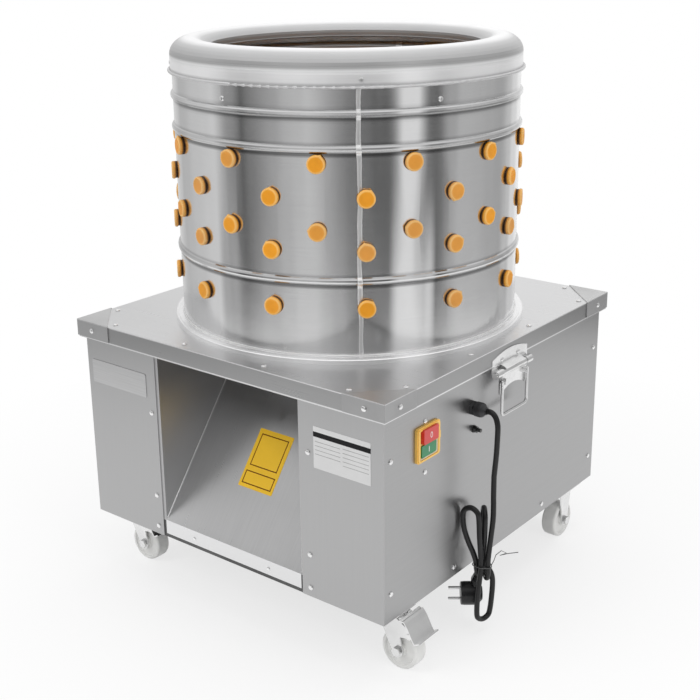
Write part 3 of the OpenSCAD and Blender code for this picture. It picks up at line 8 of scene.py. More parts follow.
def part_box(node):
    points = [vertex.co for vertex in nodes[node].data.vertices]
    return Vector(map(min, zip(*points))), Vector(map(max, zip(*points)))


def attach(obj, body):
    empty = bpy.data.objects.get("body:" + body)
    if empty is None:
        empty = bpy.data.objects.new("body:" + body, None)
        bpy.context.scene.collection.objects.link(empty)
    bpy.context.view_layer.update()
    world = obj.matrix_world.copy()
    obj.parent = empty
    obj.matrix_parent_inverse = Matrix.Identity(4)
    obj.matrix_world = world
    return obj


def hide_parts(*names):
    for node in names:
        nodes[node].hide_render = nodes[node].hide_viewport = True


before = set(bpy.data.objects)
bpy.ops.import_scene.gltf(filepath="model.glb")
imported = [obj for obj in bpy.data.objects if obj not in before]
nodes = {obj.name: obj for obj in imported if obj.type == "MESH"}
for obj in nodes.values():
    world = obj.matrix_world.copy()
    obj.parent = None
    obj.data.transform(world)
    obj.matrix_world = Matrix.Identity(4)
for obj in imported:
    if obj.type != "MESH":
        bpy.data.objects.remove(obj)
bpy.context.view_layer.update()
scene = bpy.context.scene
rng = random.Random(11)


# Sizes read from the CAD model, in metres
def side(node, corner, axis):
    """One side of a CAD node's box: corner 0 is the lowest and 1 the highest, and axis 0 to 2 is X to Z."""
    return round(float(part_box(node)[corner][axis]), 5)


def middle(node, axis):
    return (side(node, 0, axis) + side(node, 1, axis)) / 2


TRAY_FOOT, TRAY_TOP = side("top_tray", 0, 2), side("top_tray", 1, 2)
FRONT_Y = side("front_panel_left", 0, 1)
SIDE_X = side("side_panel_right", 1, 0)
PLATE_Z = side("feather_plate", 0, 2)
LIP_Z = side("chute_floor", 0, 2)
BEAD_OUT = 0.004
DRUM_R = side("drum_shell", 1, 0) - BEAD_OUT

# The drum wall's rolled beads: heights above the tray, radius of their arc and half their height, in mm
BEADS, BEAD_ARC, BEAD_HALF = (122.0, 313.5, 363.0), 6.5, 6.0

# The chute floor rises from the top of its lip at this angle
LIP_H, CHUTE_SLOPE = 0.024, math.radians(52.7)
CHUTE_FOOT = Vector((0, FRONT_Y, LIP_Z + LIP_H))
UP_CHUTE = Vector((0, math.cos(CHUTE_SLOPE), math.sin(CHUTE_SLOPE)))
OFF_CHUTE = Vector((0, -math.sin(CHUTE_SLOPE), math.cos(CHUTE_SLOPE)))

# The cord's hank hangs here, turned about the upright; then the cord's radius, and where the plug's face
# lies along the hank's first axis
HANK_X, HANK_Y, HANK_TURN = 0.338, -0.101, math.radians(38)
CORD_R, PLUG_FACE = 0.00425, -0.033

# The earth stud under the cable gland
EARTH_STUD, STUD_REACH = (0.31, -0.085, 0.328), 0.02

# The clearance between touching pieces
SLIP = 0.0001

# Axes of the row frame
X_AXIS, Y_AXIS, Z_AXIS = Vector((1, 0, 0)), Vector((0, 1, 0)), Vector((0, 0, 1))


def hank(point):
    """A point of the hank, from its own frame to the row frame."""
    c, s = math.cos(HANK_TURN), math.sin(HANK_TURN)
    return Vector((HANK_X + point[0] * c - point[1] * s, HANK_Y + point[0] * s + point[1] * c, point[2]))


# Camera
CAMERA_TURN, CAMERA_RISE, CAMERA_ROLL = math.radians(38.42), math.radians(17.53), math.radians(-0.67)
CAMERA_AIM, CAMERA_DISTANCE = Vector((0.0008, 0.0007, 0.4409)), 2.054
LENS, SHIFT = 62.68, -0.06


def make_camera():
    level = math.cos(CAMERA_RISE)
    back = Vector((math.sin(CAMERA_TURN) * level, -math.cos(CAMERA_TURN) * level, math.sin(CAMERA_RISE)))
    right = Vector((math.cos(CAMERA_TURN), math.sin(CAMERA_TURN), 0))
    up = back.cross(right)
    x = right * math.cos(CAMERA_ROLL) + up * math.sin(CAMERA_ROLL)
    y = up * math.cos(CAMERA_ROLL) - right * math.sin(CAMERA_ROLL)
    data = bpy.data.cameras.new("camera")
    data.sensor_width = 36
    data.lens = LENS
    data.shift_y = SHIFT
    data.clip_start, data.clip_end = 0.05, 50
    camera = bpy.data.objects.new("camera", data)
    scene.collection.objects.link(camera)
    camera.matrix_world = Matrix((x, y, back)).transposed().to_4x4()
    camera.location = CAMERA_AIM + back * CAMERA_DISTANCE
    scene.camera = camera


make_camera()


# Helpers for material nodes
def material(name, base, metallic=0.0, rough=0.5, aniso=0.0, coat=0.0, specular=0.5):
    mat = bpy.data.materials.new(name)
    mat.use_nodes = True
    inputs = shader(mat).inputs
    inputs["Base Color"].default_value = (*base, 1)
    inputs["Metallic"].default_value = metallic
    inputs["Roughness"].default_value = rough
    inputs["Anisotropic"].default_value = aniso
    inputs["Coat Weight"].default_value = coat
    inputs["Specular IOR Level"].default_value = specular
    return mat


def shader(mat):
    return mat.node_tree.nodes["Principled BSDF"]


def base_colour(mat):
    """The socket that gives the base colour so far."""
    return shader(mat).inputs["Base Color"].links[0].from_socket


def add(mat, kind, **settings):
    node = mat.node_tree.nodes.new(kind)
    for key, value in settings.items():
        setattr(node, key, value)
    return node


def link(mat, source, target):
    mat.node_tree.links.new(source, target)


def position(mat):
    return add(mat, "ShaderNodeTexCoord").outputs["Object"]


def split(mat, vector):
    """The sockets for X, Y and Z of a vector."""
    node = add(mat, "ShaderNodeSeparateXYZ")
    link(mat, vector, node.inputs[0])
    return node.outputs


def maths(mat, operation, first, second=None, clamp=False):
    node = add(mat, "ShaderNodeMath", operation=operation, use_clamp=clamp)
    for socket, value in zip(node.inputs, (first, second)):
        if isinstance(value, (int, float)):
            socket.default_value = value
        elif value is not None:
            link(mat, value, socket)
    return node.outputs[0]


def scaled(mat, scale=(1, 1, 1)):
    mapping = add(mat, "ShaderNodeMapping")
    mapping.inputs["Scale"].default_value = scale
    link(mat, position(mat), mapping.inputs["Vector"])
    return mapping.outputs["Vector"]


def from_axis(mat, x, y):
    """Distance from the Z axis."""
    return maths(mat, "SQRT", maths(mat, "ADD", maths(mat, "MULTIPLY", x, x), maths(mat, "MULTIPLY", y, y)))


def round_coords(mat, turns, up, out):
    """Coordinates round the Z axis: angle, height and radius, each times its own scale."""
    x, y, z = split(mat, position(mat))
    joined = add(mat, "ShaderNodeCombineXYZ")
    parts = (maths(mat, "ARCTAN2", y, x), z, from_axis(mat, x, y))
    for socket, part, scale in zip(joined.inputs, parts, (turns, up, out)):
        link(mat, maths(mat, "MULTIPLY", part, scale), socket)
    return joined.outputs[0]


def noise(mat, vector, scale, detail=3.0, rough=0.5):
    node = add(mat, "ShaderNodeTexNoise")
    node.inputs["Scale"].default_value = scale
    node.inputs["Detail"].default_value = detail
    node.inputs["Roughness"].default_value = rough
    link(mat, vector, node.inputs["Vector"])
    return node.outputs["Fac"]


def spread(mat, value, low, high, start=0.3, end=0.7):
    """A value that goes from start to end, mapped to go from low to high."""
    node = add(mat, "ShaderNodeMapRange")
    node.inputs["From Min"].default_value, node.inputs["From Max"].default_value = start, end
    node.inputs["To Min"].default_value, node.inputs["To Max"].default_value = low, high
    link(mat, value, node.inputs["Value"])
    return node.outputs[0]


def ramp(mat, value, stops):
    node = add(mat, "ShaderNodeValToRGB")
    elements = node.color_ramp.elements
    while len(elements) > 1:
        elements.remove(elements[-1])
    elements[0].position, elements[0].color = stops[0][0], (*stops[0][1], 1)
    for place, colour in stops[1:]:
        elements.new(place).color = (*colour, 1)
    link(mat, value, node.inputs["Fac"])
    return node.outputs["Color"]


def bump(mat, height, strength, distance, after=None):
    node = add(mat, "ShaderNodeBump")
    node.inputs["Strength"].default_value = strength
    node.inputs["Distance"].default_value = distance
    link(mat, height, node.inputs["Height"])
    if after is not None:
        link(mat, after, node.inputs["Normal"])
    return node.outputs["Normal"]


def even(value):
    return (value, value, value)


def grey(value):
    """Steel's grey, a trace cooler than an even one."""
    return (value, value, value * 1.005)


def vary(mat, value, colours, roughness):
    """Base colour and roughness that follow one value, from its low to its high."""
    link(mat, ramp(mat, value, colours), shader(mat).inputs["Base Color"])
    link(mat, spread(mat, value, *roughness), shader(mat).inputs["Roughness"])


# Metals
def streaks(mat, base, wear, lines, cloud, share):
    """Fine lines, by their share, and wide clouds as one value, and the greys that it runs between."""
    mix = maths(mat, "ADD", maths(mat, "MULTIPLY", lines, share), maths(mat, "MULTIPLY", cloud, 1 - share))
    return mix, [(0.3, grey(base * (1 - wear))), (0.7, grey(base * (1 + wear)))]


def brushed(name, base, rough, grain, aniso=0.5, wear=0.05):
    """Cold-rolled brushed sheet; grain is the noise scale along X, Y and Z."""
    mat = material(name, grey(base), 1.0, rough, aniso)
    lines = noise(mat, scaled(mat, grain), 1.0, 4.0, 0.6)
    cloud = noise(mat, scaled(mat), 5.0)
    mix, greys = streaks(mat, base, wear, lines, cloud, 0.55)
    vary(mat, mix, greys, (rough * 0.86, rough * 1.14))
    link(mat, bump(mat, lines, 0.12, 0.0002), shader(mat).inputs["Normal"])
    return mat


def turned(name, base, rough, aniso, wear=0.06, wave=0.0, metallic=1.0):
    """Sheet polished round the Z axis, so highlights stretch up and down; wave is the depth of its dents."""
    mat = material(name, grey(base), metallic, rough, aniso)
    tangent = add(mat, "ShaderNodeTangent", direction_type="RADIAL", axis="Z")
    link(mat, tangent.outputs[0], shader(mat).inputs["Tangent"])
    shader(mat).inputs["Anisotropic Rotation"].default_value = 0.25
    lines = noise(mat, round_coords(mat, 3.0, 900.0, 120.0), 1.0, 4.0, 0.6)
    cloud = noise(mat, round_coords(mat, 4.0, 6.0, 4.0), 1.4)
    mix, greys = streaks(mat, base, wear, lines, cloud, 0.5)
    vary(mat, mix, greys, (rough * 0.85, rough * 1.15))
    normal = bump(mat, lines, 0.08, 0.0002)
    if wave:
        dents = noise(mat, round_coords(mat, 5.0, 2.0, 1.0), 1.0, 1.0)
        normal = bump(mat, dents, 1.0, wave, normal)
    link(mat, normal, shader(mat).inputs["Normal"])
    return mat


def cast(name, base, rough, tint=(1, 1, 1), wear=0.08, metallic=1.0, depth=0.0002):
    """Plated or painted metal with a fine orange-peel surface and faint stains."""
    def tone(factor):
        return tuple(base * factor * t for t in tint)

    mat = material(name, tone(1), metallic, rough)
    vector = scaled(mat)
    peel = noise(mat, vector, 160.0)
    stain = noise(mat, vector, 14.0, 4.0, 0.6)
    vary(mat, stain, [(0.32, tone(1 - wear)), (0.68, tone(1 + wear))], (rough * 1.2, rough * 0.85))
    link(mat, bump(mat, peel, 0.2, depth), shader(mat).inputs["Normal"])
    return mat


def moulded(name, base, rough, wear=0.1, scale=500.0, depth=0.00015, coat=0.0, specular=0.5):
    """Moulded plastic, rubber or print with a fine grain and slight shifts of colour."""
    mat = material(name, base, 0.0, rough, coat=coat, specular=specular)
    vector = scaled(mat)
    grain = noise(mat, vector, scale, 2.0)
    shift = noise(mat, vector, 30.0, 3.0, 0.6)
    low = tuple(c * (1 - wear) for c in base)
    high = tuple(min(1.0, c * (1 + wear)) for c in base)
    vary(mat, shift, [(0.3, low), (0.7, high)], (rough * 1.1, rough * 0.9))
    link(mat, bump(mat, grain, 0.25, depth), shader(mat).inputs["Normal"])
    return mat


def printed(name, base, rough, wear, coat=0.0, specular=0.5):
    """A printed face: smoother than moulded plastic."""
    return moulded(name, base, rough, wear, 900.0, 0.00003, coat, specular)


# Marks on a material: other tones in some places
def recolour(mat, share, colour):
    """Mixes another base colour in, by a share from 0 to 1."""
    mixer = add(mat, "ShaderNodeMix", data_type="RGBA")
    link(mat, share, mixer.inputs["Factor"])
    link(mat, base_colour(mat), mixer.inputs["A"])
    mixer.inputs["B"].default_value = (*colour, 1)
    link(mat, mixer.outputs["Result"], shader(mat).inputs["Base Color"])


def painted_shade_by_height(mat, stops):
    """Multiplies the base colour by a painted shade that changes with height above the floor, in metres."""
    tone = ramp(mat, split(mat, position(mat))[2], [(height, even(factor)) for height, factor in stops])
    mixer = add(mat, "ShaderNodeMix", data_type="RGBA", blend_type="MULTIPLY")
    mixer.inputs["Factor"].default_value = 1.0
    link(mat, base_colour(mat), mixer.inputs["A"])
    link(mat, tone, mixer.inputs["B"])
    link(mat, mixer.outputs["Result"], shader(mat).inputs["Base Color"])


def between(mat, low, high):
    """1 between two heights above the floor, in metres."""
    height = split(mat, position(mat))[2]
    under, over = maths(mat, "LESS_THAN", height, high), maths(mat, "GREATER_THAN", height, low)
    return maths(mat, "MULTIPLY", under, over)


def near(mat, place, reach):
    """1 within reach of a point, in metres."""
    far = add(mat, "ShaderNodeVectorMath", operation="DISTANCE")
    link(mat, position(mat), far.inputs[0])
    far.inputs[1].default_value = place
    return maths(mat, "LESS_THAN", far.outputs["Value"], reach)


def past(mat, place, direction):
    """1 beyond a point along a direction."""
    along = add(mat, "ShaderNodeVectorMath", operation="DOT_PRODUCT")
    link(mat, position(mat), along.inputs[0])
    along.inputs[1].default_value = direction
    return maths(mat, "GREATER_THAN", along.outputs["Value"], place.dot(direction))


def rolled_groove(mat, low, high, depth):
    """Pressed groove and crest in a turned sheet between two heights."""
    step = spread(mat, split(mat, position(mat))[2], 0.0, 1.0, low, high)
    shape = ramp(mat, step, [(0.0, even(0.5)), (0.25, even(0.95)), (0.45, even(0.5)), (0.7, even(0.1)),
                             (1.0, even(0.5))])
    normal = shader(mat).inputs["Normal"]
    link(mat, bump(mat, shape, 1.0, depth, normal.links[0].from_socket), normal)


def over_tray(stops):
    """Stops from mm above the tray to metres above the floor."""
    return [(TRAY_TOP + height / 1000, factor) for height, factor in stops]


def make_drum_steel():
    """Polished wall with painted shade: darker in a band below each rolled bead and a little above it."""
    mat = turned("drum_steel", 0.8, 0.17, 0.8, 0.04, 0.003)
    # Painted shade: tones by height darken each bead's under side and a band just above it
    stops = [(55, 1.0)]
    for bead in BEADS:
        stops += [(bead - 11.5, 1.0), (bead - 8.8, 0.35), (bead - 3.2, 0.4), (bead - 1.2, 1.0),
                  (bead + 1.5, 1.0), (bead + 3.0, 0.7), (bead + 7.5, 0.7), (bead + 9.0, 1.0)]
    painted_shade_by_height(mat, over_tray(stops))
    return mat


def make_lid_steel():
    """Domed lid with a pressed groove, and painted shade: a darker foot and a shaded shoulder under its
    bright crest.
    """
    mat = turned("lid_steel", 0.94, 0.38, 0.3, 0.04, metallic=0.68)
    # Painted shade: tones by height on the foot, the shoulder and the mouth
    foot, shoulder = [(402.5, 0.66), (404.5, 1.0)], [(421.5, 1.0), (424.5, 0.4), (429, 0.49), (440, 0.51)]
    painted_shade_by_height(mat, over_tray(foot + shoulder + [(445.5, 0.6), (448, 1.0)]))
    rolled_groove(mat, TRAY_TOP + 0.417, TRAY_TOP + 0.433, 0.002)
    return mat


def make_floor_steel():
    """Chute floor with painted shade, darker towards the drum, and its folded lip in an even tone."""
    mat = brushed("floor_steel", 0.95, 0.3, (400, 10, 10))
    # Painted shade: darker with height, up the slope towards the drum
    painted_shade_by_height(mat, ((0.14, 1.0), (0.2, 0.8), (0.33, 0.62), (0.4, 0.55)))
    recolour(mat, maths(mat, "LESS_THAN", split(mat, position(mat))[2], LIP_Z + LIP_H - 0.0005), grey(0.8))
    return mat


def make_skirt_steel():
    """The tray, with a painted shade darkening its apron between its fold and its hem."""
    mat = brushed("skirt_steel", 0.76, 0.3, (6, 500, 500), wear=0.03)
    # Painted shade: the apron in a darker grey
    recolour(mat, between(mat, TRAY_FOOT + 0.0023, TRAY_TOP - 0.0016), grey(0.37))
    return mat


def make_cap_steel():
    """The corner caps, with painted shade that makes their sides darker than their tops."""
    mat = cast("cap_steel", 0.64, 0.42, wear=0.04)
    # Painted shade: the caps' sides, below the tray top, in a darker grey
    recolour(mat, between(mat, 0.0, TRAY_TOP - 0.0002), grey(0.46))
    return mat


def make_panel_screws():
    """Bright screws, and one blackened earth stud under the cable gland."""
    mat = cast("screw_zinc_panels", 0.88, 0.26, wear=0.04)
    recolour(mat, near(mat, EARTH_STUD, STUD_REACH), grey(0.1))
    return mat


def make_plug_black():
    """Black plug with metal pins: all that lies beyond its face."""
    mat = moulded("plug_black", (0.013, 0.013, 0.014), 0.3, 0.2, specular=0.35)
    direction = Vector((-math.cos(HANK_TURN), -math.sin(HANK_TURN), 0))
    pins = past(mat, hank((PLUG_FACE - SLIP, 0, 0)), direction)
    recolour(mat, pins, grey(0.75))
    link(mat, pins, shader(mat).inputs["Metallic"])
    return mat


def make_finger_rubber():
    """Amber rubber, paler where it thins out, with painted shade under the heads; each finger a little
    different.
    """
    mat = moulded("finger_rubber", (0.78, 0.315, 0.018), 0.5, 0.08, 260.0, 0.0003)
    tone = add(mat, "ShaderNodeAttribute", attribute_name="pale").outputs["Fac"]
    recolour(mat, maths(mat, "MULTIPLY", tone, 0.5, clamp=True), (0.95, 0.66, 0.27))
    # Painted shade: dark brown where the tone is below 0, under the heads
    recolour(mat, maths(mat, "MULTIPLY", tone, -1.0, clamp=True), (0.05, 0.02, 0.004))
    island = add(mat, "ShaderNodeNewGeometry").outputs["Random Per Island"]
    each = add(mat, "ShaderNodeHueSaturation")
    link(mat, base_colour(mat), each.inputs["Color"])
    link(mat, spread(mat, island, 0.9, 1.06, 0.0, 1.0), each.inputs["Value"])
    link(mat, spread(mat, island, 0.95, 1.04, 0.0, 1.0), each.inputs["Saturation"])
    link(mat, each.outputs[0], shader(mat).inputs["Base Color"])
    shader(mat).inputs["Subsurface Weight"].default_value = 0.1
    shader(mat).inputs["Subsurface Radius"].default_value = (0.004, 0.002, 0.0008)
    shader(mat).inputs["Subsurface Scale"].default_value = 1.0
    return mat


def make_braid():
    """Braided wire hose: two crossing sets of fine strands."""
    mat = material("hose_braid", grey(0.6), 1.0, 0.3)
    along, around, _ = split(mat, add(mat, "ShaderNodeTexCoord").outputs["UV"])
    strands = []
    for hand in (1, -1):
        lead, wind = maths(mat, "MULTIPLY", along, 300.0), maths(mat, "MULTIPLY", around, 10.0 * hand)
        turn = maths(mat, "MULTIPLY", maths(mat, "ADD", lead, wind), math.pi)
        strands.append(maths(mat, "ABSOLUTE", maths(mat, "SINE", turn)))
    weave = maths(mat, "MAXIMUM", *strands)
    link(mat, ramp(mat, weave, [(0.55, grey(0.2)), (0.95, grey(0.72))]), shader(mat).inputs["Base Color"])
    link(mat, bump(mat, weave, 0.6, 0.0006), shader(mat).inputs["Normal"])
    return mat


drum_steel = make_drum_steel()
lid_steel = make_lid_steel()
flange_steel = turned("flange_steel", 0.95, 0.22, 0.5, 0.05, metallic=0.75)
seam_steel = cast("seam_steel", 0.92, 0.4, wear=0.06, depth=0.0004)
tray_steel = brushed("tray_steel", 0.7, 0.3, (6, 500, 500), wear=0.03)
skirt_steel = make_skirt_steel()
panel_steel = brushed("panel_steel", 0.46, 0.34, (500, 500, 7), wear=0.03)
side_steel = brushed("side_steel", 0.42, 0.32, (500, 7, 500))
chute_steel = brushed("chute_steel", 0.5, 0.4, (400, 10, 10))
floor_steel = make_floor_steel()
cap_steel = make_cap_steel()
plate_steel = brushed("plate_steel", 0.52, 0.3, (8, 500, 500), 0.4, 0.12)
zinc = cast("zinc", 0.8, 0.24, metallic=0.92)
wire_zinc = cast("wire_zinc", 0.74, 0.3, wear=0.1)
screw_zinc = cast("screw_zinc", 0.88, 0.26, wear=0.04)
screw_zinc_panels = make_panel_screws()
tie_wire = cast("tie_wire", 0.1, 0.4, wear=0.15, metallic=0.5)
dark_paint = cast("dark_paint", 0.09, 0.45, wear=0.15, metallic=0.2)
raw_steel = cast("raw_steel", 0.42, 0.36, wear=0.12)
inlet_brass = cast("inlet_brass", 0.75, 0.3, (1, 0.8, 0.42), 0.12)
nylon = moulded("nylon", (0.8, 0.8, 0.785), 0.38, 0.03, coat=0.1)
black_rubber = moulded("black_rubber", (0.011, 0.011, 0.0115), 0.3, 0.2, specular=0.35)
plug_black = make_plug_black()
black_plastic = moulded("black_plastic", (0.02, 0.02, 0.022), 0.36, 0.2)
belt_rubber = moulded("belt_rubber", (0.03, 0.03, 0.03), 0.6, 0.25)
yellow_plastic = moulded("yellow_plastic", (0.93, 0.56, 0.12), 0.34, 0.06, coat=0.2)
red_plastic = moulded("red_plastic", (0.62, 0.035, 0.03), 0.3, 0.06, coat=0.3)
green_plastic = moulded("green_plastic", (0.02, 0.24, 0.09), 0.3, 0.06, coat=0.3)
pale_strip_plastic = moulded("pale_strip_plastic", (0.74, 0.68, 0.5), 0.35, 0.05)
mark_white = moulded("mark_white", (0.8, 0.78, 0.76), 0.4, 0.03)
label_white = printed("label_white", (0.68, 0.68, 0.68), 0.5, 0.02)
label_black = printed("label_black", (0.012, 0.012, 0.013), 0.45, 0.1, specular=0.12)
label_grey = printed("label_grey", (0.34, 0.34, 0.34), 0.5, 0.15)
label_yellow = printed("label_yellow", (0.93, 0.56, 0.01), 0.42, 0.03, coat=0.15)
label_brown = printed("label_brown", (0.13, 0.022, 0.004), 0.45, 0.1, specular=0.12)
amber = make_finger_rubber()
hose_metal = make_braid()


# Helpers for meshes
def made(name, bm, mat, smooth=True, body="machine"):
    """The mesh as an object that rides on a body."""
    mesh = bpy.data.meshes.new(name)
    bmesh.ops.recalc_face_normals(bm, faces=bm.faces[:])
    bm.to_mesh(mesh)
    bm.free()
    for polygon in mesh.polygons:
        polygon.use_smooth = smooth
    piece = bpy.data.objects.new(name, mesh)
    scene.collection.objects.link(piece)
    mesh.materials.append(mat)
    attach(piece, body)
    return piece


def circle(radius, count):
    """Points round a circle in its own plane."""
    angles = [2 * math.pi * k / count for k in range(count)]
    return [(radius * math.cos(a), radius * math.sin(a)) for a in angles]


def ring_point(radius, degrees, z):
    """A point round the drum's axis."""
    return Vector((radius * math.cos(math.radians(degrees)), radius * math.sin(math.radians(degrees)), z))


def join_rings(bm, rings, count):
    """Skins rings of count points, or of one point at a tip."""
    for low, high in zip(rings, rings[1:]):
        for i in range(count):
            j = (i + 1) % count
            if len(low) == 1:
                bm.faces.new((low[0], high[i], high[j]))
            elif len(high) == 1:
                bm.faces.new((low[i], high[0], low[j]))
            else:
                bm.faces.new((low[i], high[i], high[j], low[j]))


def spline(points, count):
    """The same curve through the points as the CAD route takes."""
    curve = []
    for i in range(len(points) - 1):
        picked = (max(i - 1, 0), i, i + 1, min(i + 2, len(points) - 1))
        a, b, c, d = (Vector(points[k]) for k in picked)
        for k in range(count):
            s = k / count
            bend = (2 * a - 5 * b + 4 * c - d) * s * s + (3 * b - a - 3 * c + d) * s ** 3
            curve.append(0.5 * (2 * b + (c - a) * s + bend))
    return curve + [Vector(points[-1])]


def sweep(bm, path, radius, sides):
    """Round tube along a path, closed at both ends."""
    rings, normal = [], Y_AXIS.copy()
    for i, point in enumerate(path):
        along = (path[min(i + 1, len(path) - 1)] - path[max(i - 1, 0)]).normalized()
        normal = (normal - normal.dot(along) * along).normalized()
        other = along.cross(normal)
        rings.append([bm.verts.new(point + u * normal + v * other) for u, v in circle(radius, sides)])
    for low, high in zip(rings, rings[1:]):
        for k in range(sides):
            j = (k + 1) % sides
            bm.faces.new((low[k], low[j], high[j], high[k]))
    bm.faces.new(rings[0][::-1])
    bm.faces.new(rings[-1])


# The power cord from its gland down, and round its hank to the plug, in mm; the hank's is in its own frame
CORD_ROUTE = ((331, -90, 364), (339, -90, 364), (346, -90, 358), (350, -90, 345), (350, -90, 325),
              (349, -90, 300), (347, -90, 275))
HANK_ROUTE = ((13, 4, 250), (13, 3, 230), (13, 0, 196), (10, -2, 164), (7, -4, 136), (6, -4, 118),
              (6.5, -4, 102.5), (6, 0, 93), (5, 9.5, 89), (4.5, 19, 93), (4, 23, 102.5), (3, 19.5, 122),
              (2, 19, 144), (1, 21.5, 166), (0.5, 26, 191.5), (0.5, 22, 201), (0.5, 12.5, 205),
              (0.5, 3, 201), (0.5, -1, 191.5), (0.5, -0.5, 170), (0.5, 2, 150), (0.5, 5, 134),
              (2, 6.5, 120), (5.5, 7.5, 109.5), (11, 8, 100.5), (14.5, 7.5, 91), (15.5, 7.5, 78),
              (14.5, 7.5, 56), (12.5, 7.5, 34.5), (9.5, 5, 25), (1.5, 0, 21), (-6.5, -5.5, 25),
              (-9.5, -8, 34.5), (-9, -7, 62), (-6, -4.5, 94), (-4, -4, 114), (-5.5, -5, 138),
              (-8, -8, 168), (-10, -10.5, 200.5), (-13.5, -8.5, 210), (-21, -3.5, 214), (-29, 1.5, 210),
              (-32.5, 3.5, 200.5), (-31, 4.5, 178), (-24, 4.5, 154), (-16, 4, 134), (-11.5, 3.5, 119),
              (-10.5, 3.5, 108), (-9, 5, 98), (-9, 9, 93))

# Where the two meet, in the hank's own frame; the steps from point to point, and the sides of the tube
MEETING, CORD_STEPS, CORD_SIDES = (13, 4, 262), 5, 20


def metres(point):
    return tuple(v / 1000 for v in point)


def make_cord():
    """One round tube along the solids' own line."""
    lead = spline([metres(p) for p in CORD_ROUTE] + [hank(metres(MEETING))], CORD_STEPS)
    path = lead + spline([hank(metres(p)) for p in HANK_ROUTE], CORD_STEPS)
    bm = bmesh.new()
    sweep(bm, path, CORD_R, CORD_SIDES)
    cord = made("cord_lead", bm, black_rubber)
    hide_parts("power_cord", "cord_hank")


make_cord()

# Rubber fingers, sizes in mm
FINGER_LEN, FINGER_RIBS, FINGER_TIP, FINGER_SIDES = 86.0, 8, 6.0, 28
HEAD_R, HEAD_H, RIM_R, NECK_R = 13.5, 8.0, 2.4, 9.4
SHOULDER_R, SHOULDER_H, FINGER_R, TIP_R = 13.0, 5.0, 11.0, 8.0
DRUM_NECK, PLATE_NECK = 2.0, 3.0

# One rib: how far inside the finger's radius, how far up the pitch, and its tone
RIB = ((0.35, 0.1, 0.2), (0, 0.2, 0.5), (0, 0.52, 0.5), (0.4, 0.64, 0.4), (1.25, 0.76, 0), (1.3, 0.94, 0))

# The profile's rings on the head's rim, where the nib of flash stands, and the nib's half width in radians
RIM_RINGS, NIB_WIDE = range(3, 9), 0.16


def finger_profile(neck):
    """(radius, height, tone) in mm from the head's face to the tip; height 0 is the seat of the head.

    Tone 1 is thin pale rubber and -1 the painted shade on the underside of the head.
    """
    face, rim, root, end = -HEAD_H, HEAD_R - RIM_R, neck + SHOULDER_H, neck + SHOULDER_H + FINGER_LEN
    points = [(0, face + 0.3, 0), (7, face + 0.25, 0), (rim - 0.8, face + 0.1, 0.1), (rim, face, 0.8)]
    points += [(rim + RIM_R * math.sin(a), face + RIM_R * (1 - math.cos(a)), 1) for a in (0.5, 0.9, 1.25)]
    # The head's lower side, underside and neck take tones below 0: painted shade
    points += [(HEAD_R, face + 2.6, 0.7), (HEAD_R, -3.6, 0.1), (HEAD_R, -2.2, -0.75), (HEAD_R, -0.6, -1),
               (HEAD_R - 0.5, 0, -1), (NECK_R, 0, -1), (NECK_R, neck, -1)]
    points += [(SHOULDER_R - 0.6, neck, 0), (SHOULDER_R, neck + 0.6, 0.4), (SHOULDER_R, root - 1.6, 0.5),
               (SHOULDER_R - 0.8, root - 0.7, 0.5), (FINGER_R, root, 0.1)]
    pitch = (FINGER_LEN - FINGER_TIP) / FINGER_RIBS
    for i in range(FINGER_RIBS):
        radius = FINGER_R + (TIP_R - FINGER_R) * i / FINGER_RIBS
        points += [(radius - inside, root + (i + up) * pitch, tone) for inside, up, tone in RIB]
    points += [(TIP_R - 1.3, end - 4, 0.2), (TIP_R - 1.9, end - 1.9, 0.4), (TIP_R - 3.4, end - 0.6, 0.5),
               (TIP_R / 2 - 1.5, end - 0.05, 0.3), (0, end, 0.2)]
    return points


def make_finger(bm, pale, place, profile):
    """One finger, turned on its own axis, with its own nib of flash on the head's rim."""
    turn, nib = rng.uniform(0, 2 * math.pi), rng.uniform(1.0, 2.2)
    rings = []
    for k, (radius, height, tone) in enumerate(profile):
        ring = []
        for i in range(FINGER_SIDES if radius else 1):
            angle = 2 * math.pi * i / FINGER_SIDES
            off = min(angle, 2 * math.pi - angle)
            extra = nib * math.exp(-(off / NIB_WIDE) ** 2) if k in RIM_RINGS else 0
            x, y = (radius + extra) * math.cos(angle + turn), (radius + extra) * math.sin(angle + turn)
            vert = bm.verts.new(place @ Vector(metres((x, y, height))))
            vert[pale] = min(1.0, tone + (0.4 if extra > 0.4 else 0))
            ring.append(vert)
        rings.append(ring)
    join_rings(bm, rings, FINGER_SIDES)


def finger_set(name, places, neck, body, node):
    """All the fingers of one kind."""
    bm = bmesh.new()
    pale = bm.verts.layers.float.new("pale")
    profile = finger_profile(neck)
    for place in places:
        make_finger(bm, pale, place, profile)
    piece = made(name, bm, amber, body=body)
    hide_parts(node)


# Even columns of the drum have three fingers and odd ones two, at these heights in mm above the tray
DRUM_ROWS, DRUM_COLUMNS, FIRST_COLUMN = ((244, 166, 81.5), (293.5, 196)), 25, -46.3

# The plate's rings: radius in mm, and how many fingers
PLATE_RINGS = ((60, 8), (105, 12), (155, 16))


def about_z(degrees):
    return Matrix.Rotation(math.radians(degrees), 4, "Z")


def drum_places():
    """Just outside the drum wall, pointing to its axis."""
    half = DRUM_COLUMNS // 2
    inward = Matrix.Rotation(math.radians(-90), 4, "Y")
    return [about_z(FIRST_COLUMN + i * 360 / DRUM_COLUMNS)
            @ Matrix.Translation((DRUM_R + SLIP, 0, TRAY_TOP + height / 1000)) @ inward
            for i in range(-half, half + 1) for height in DRUM_ROWS[i % 2]]


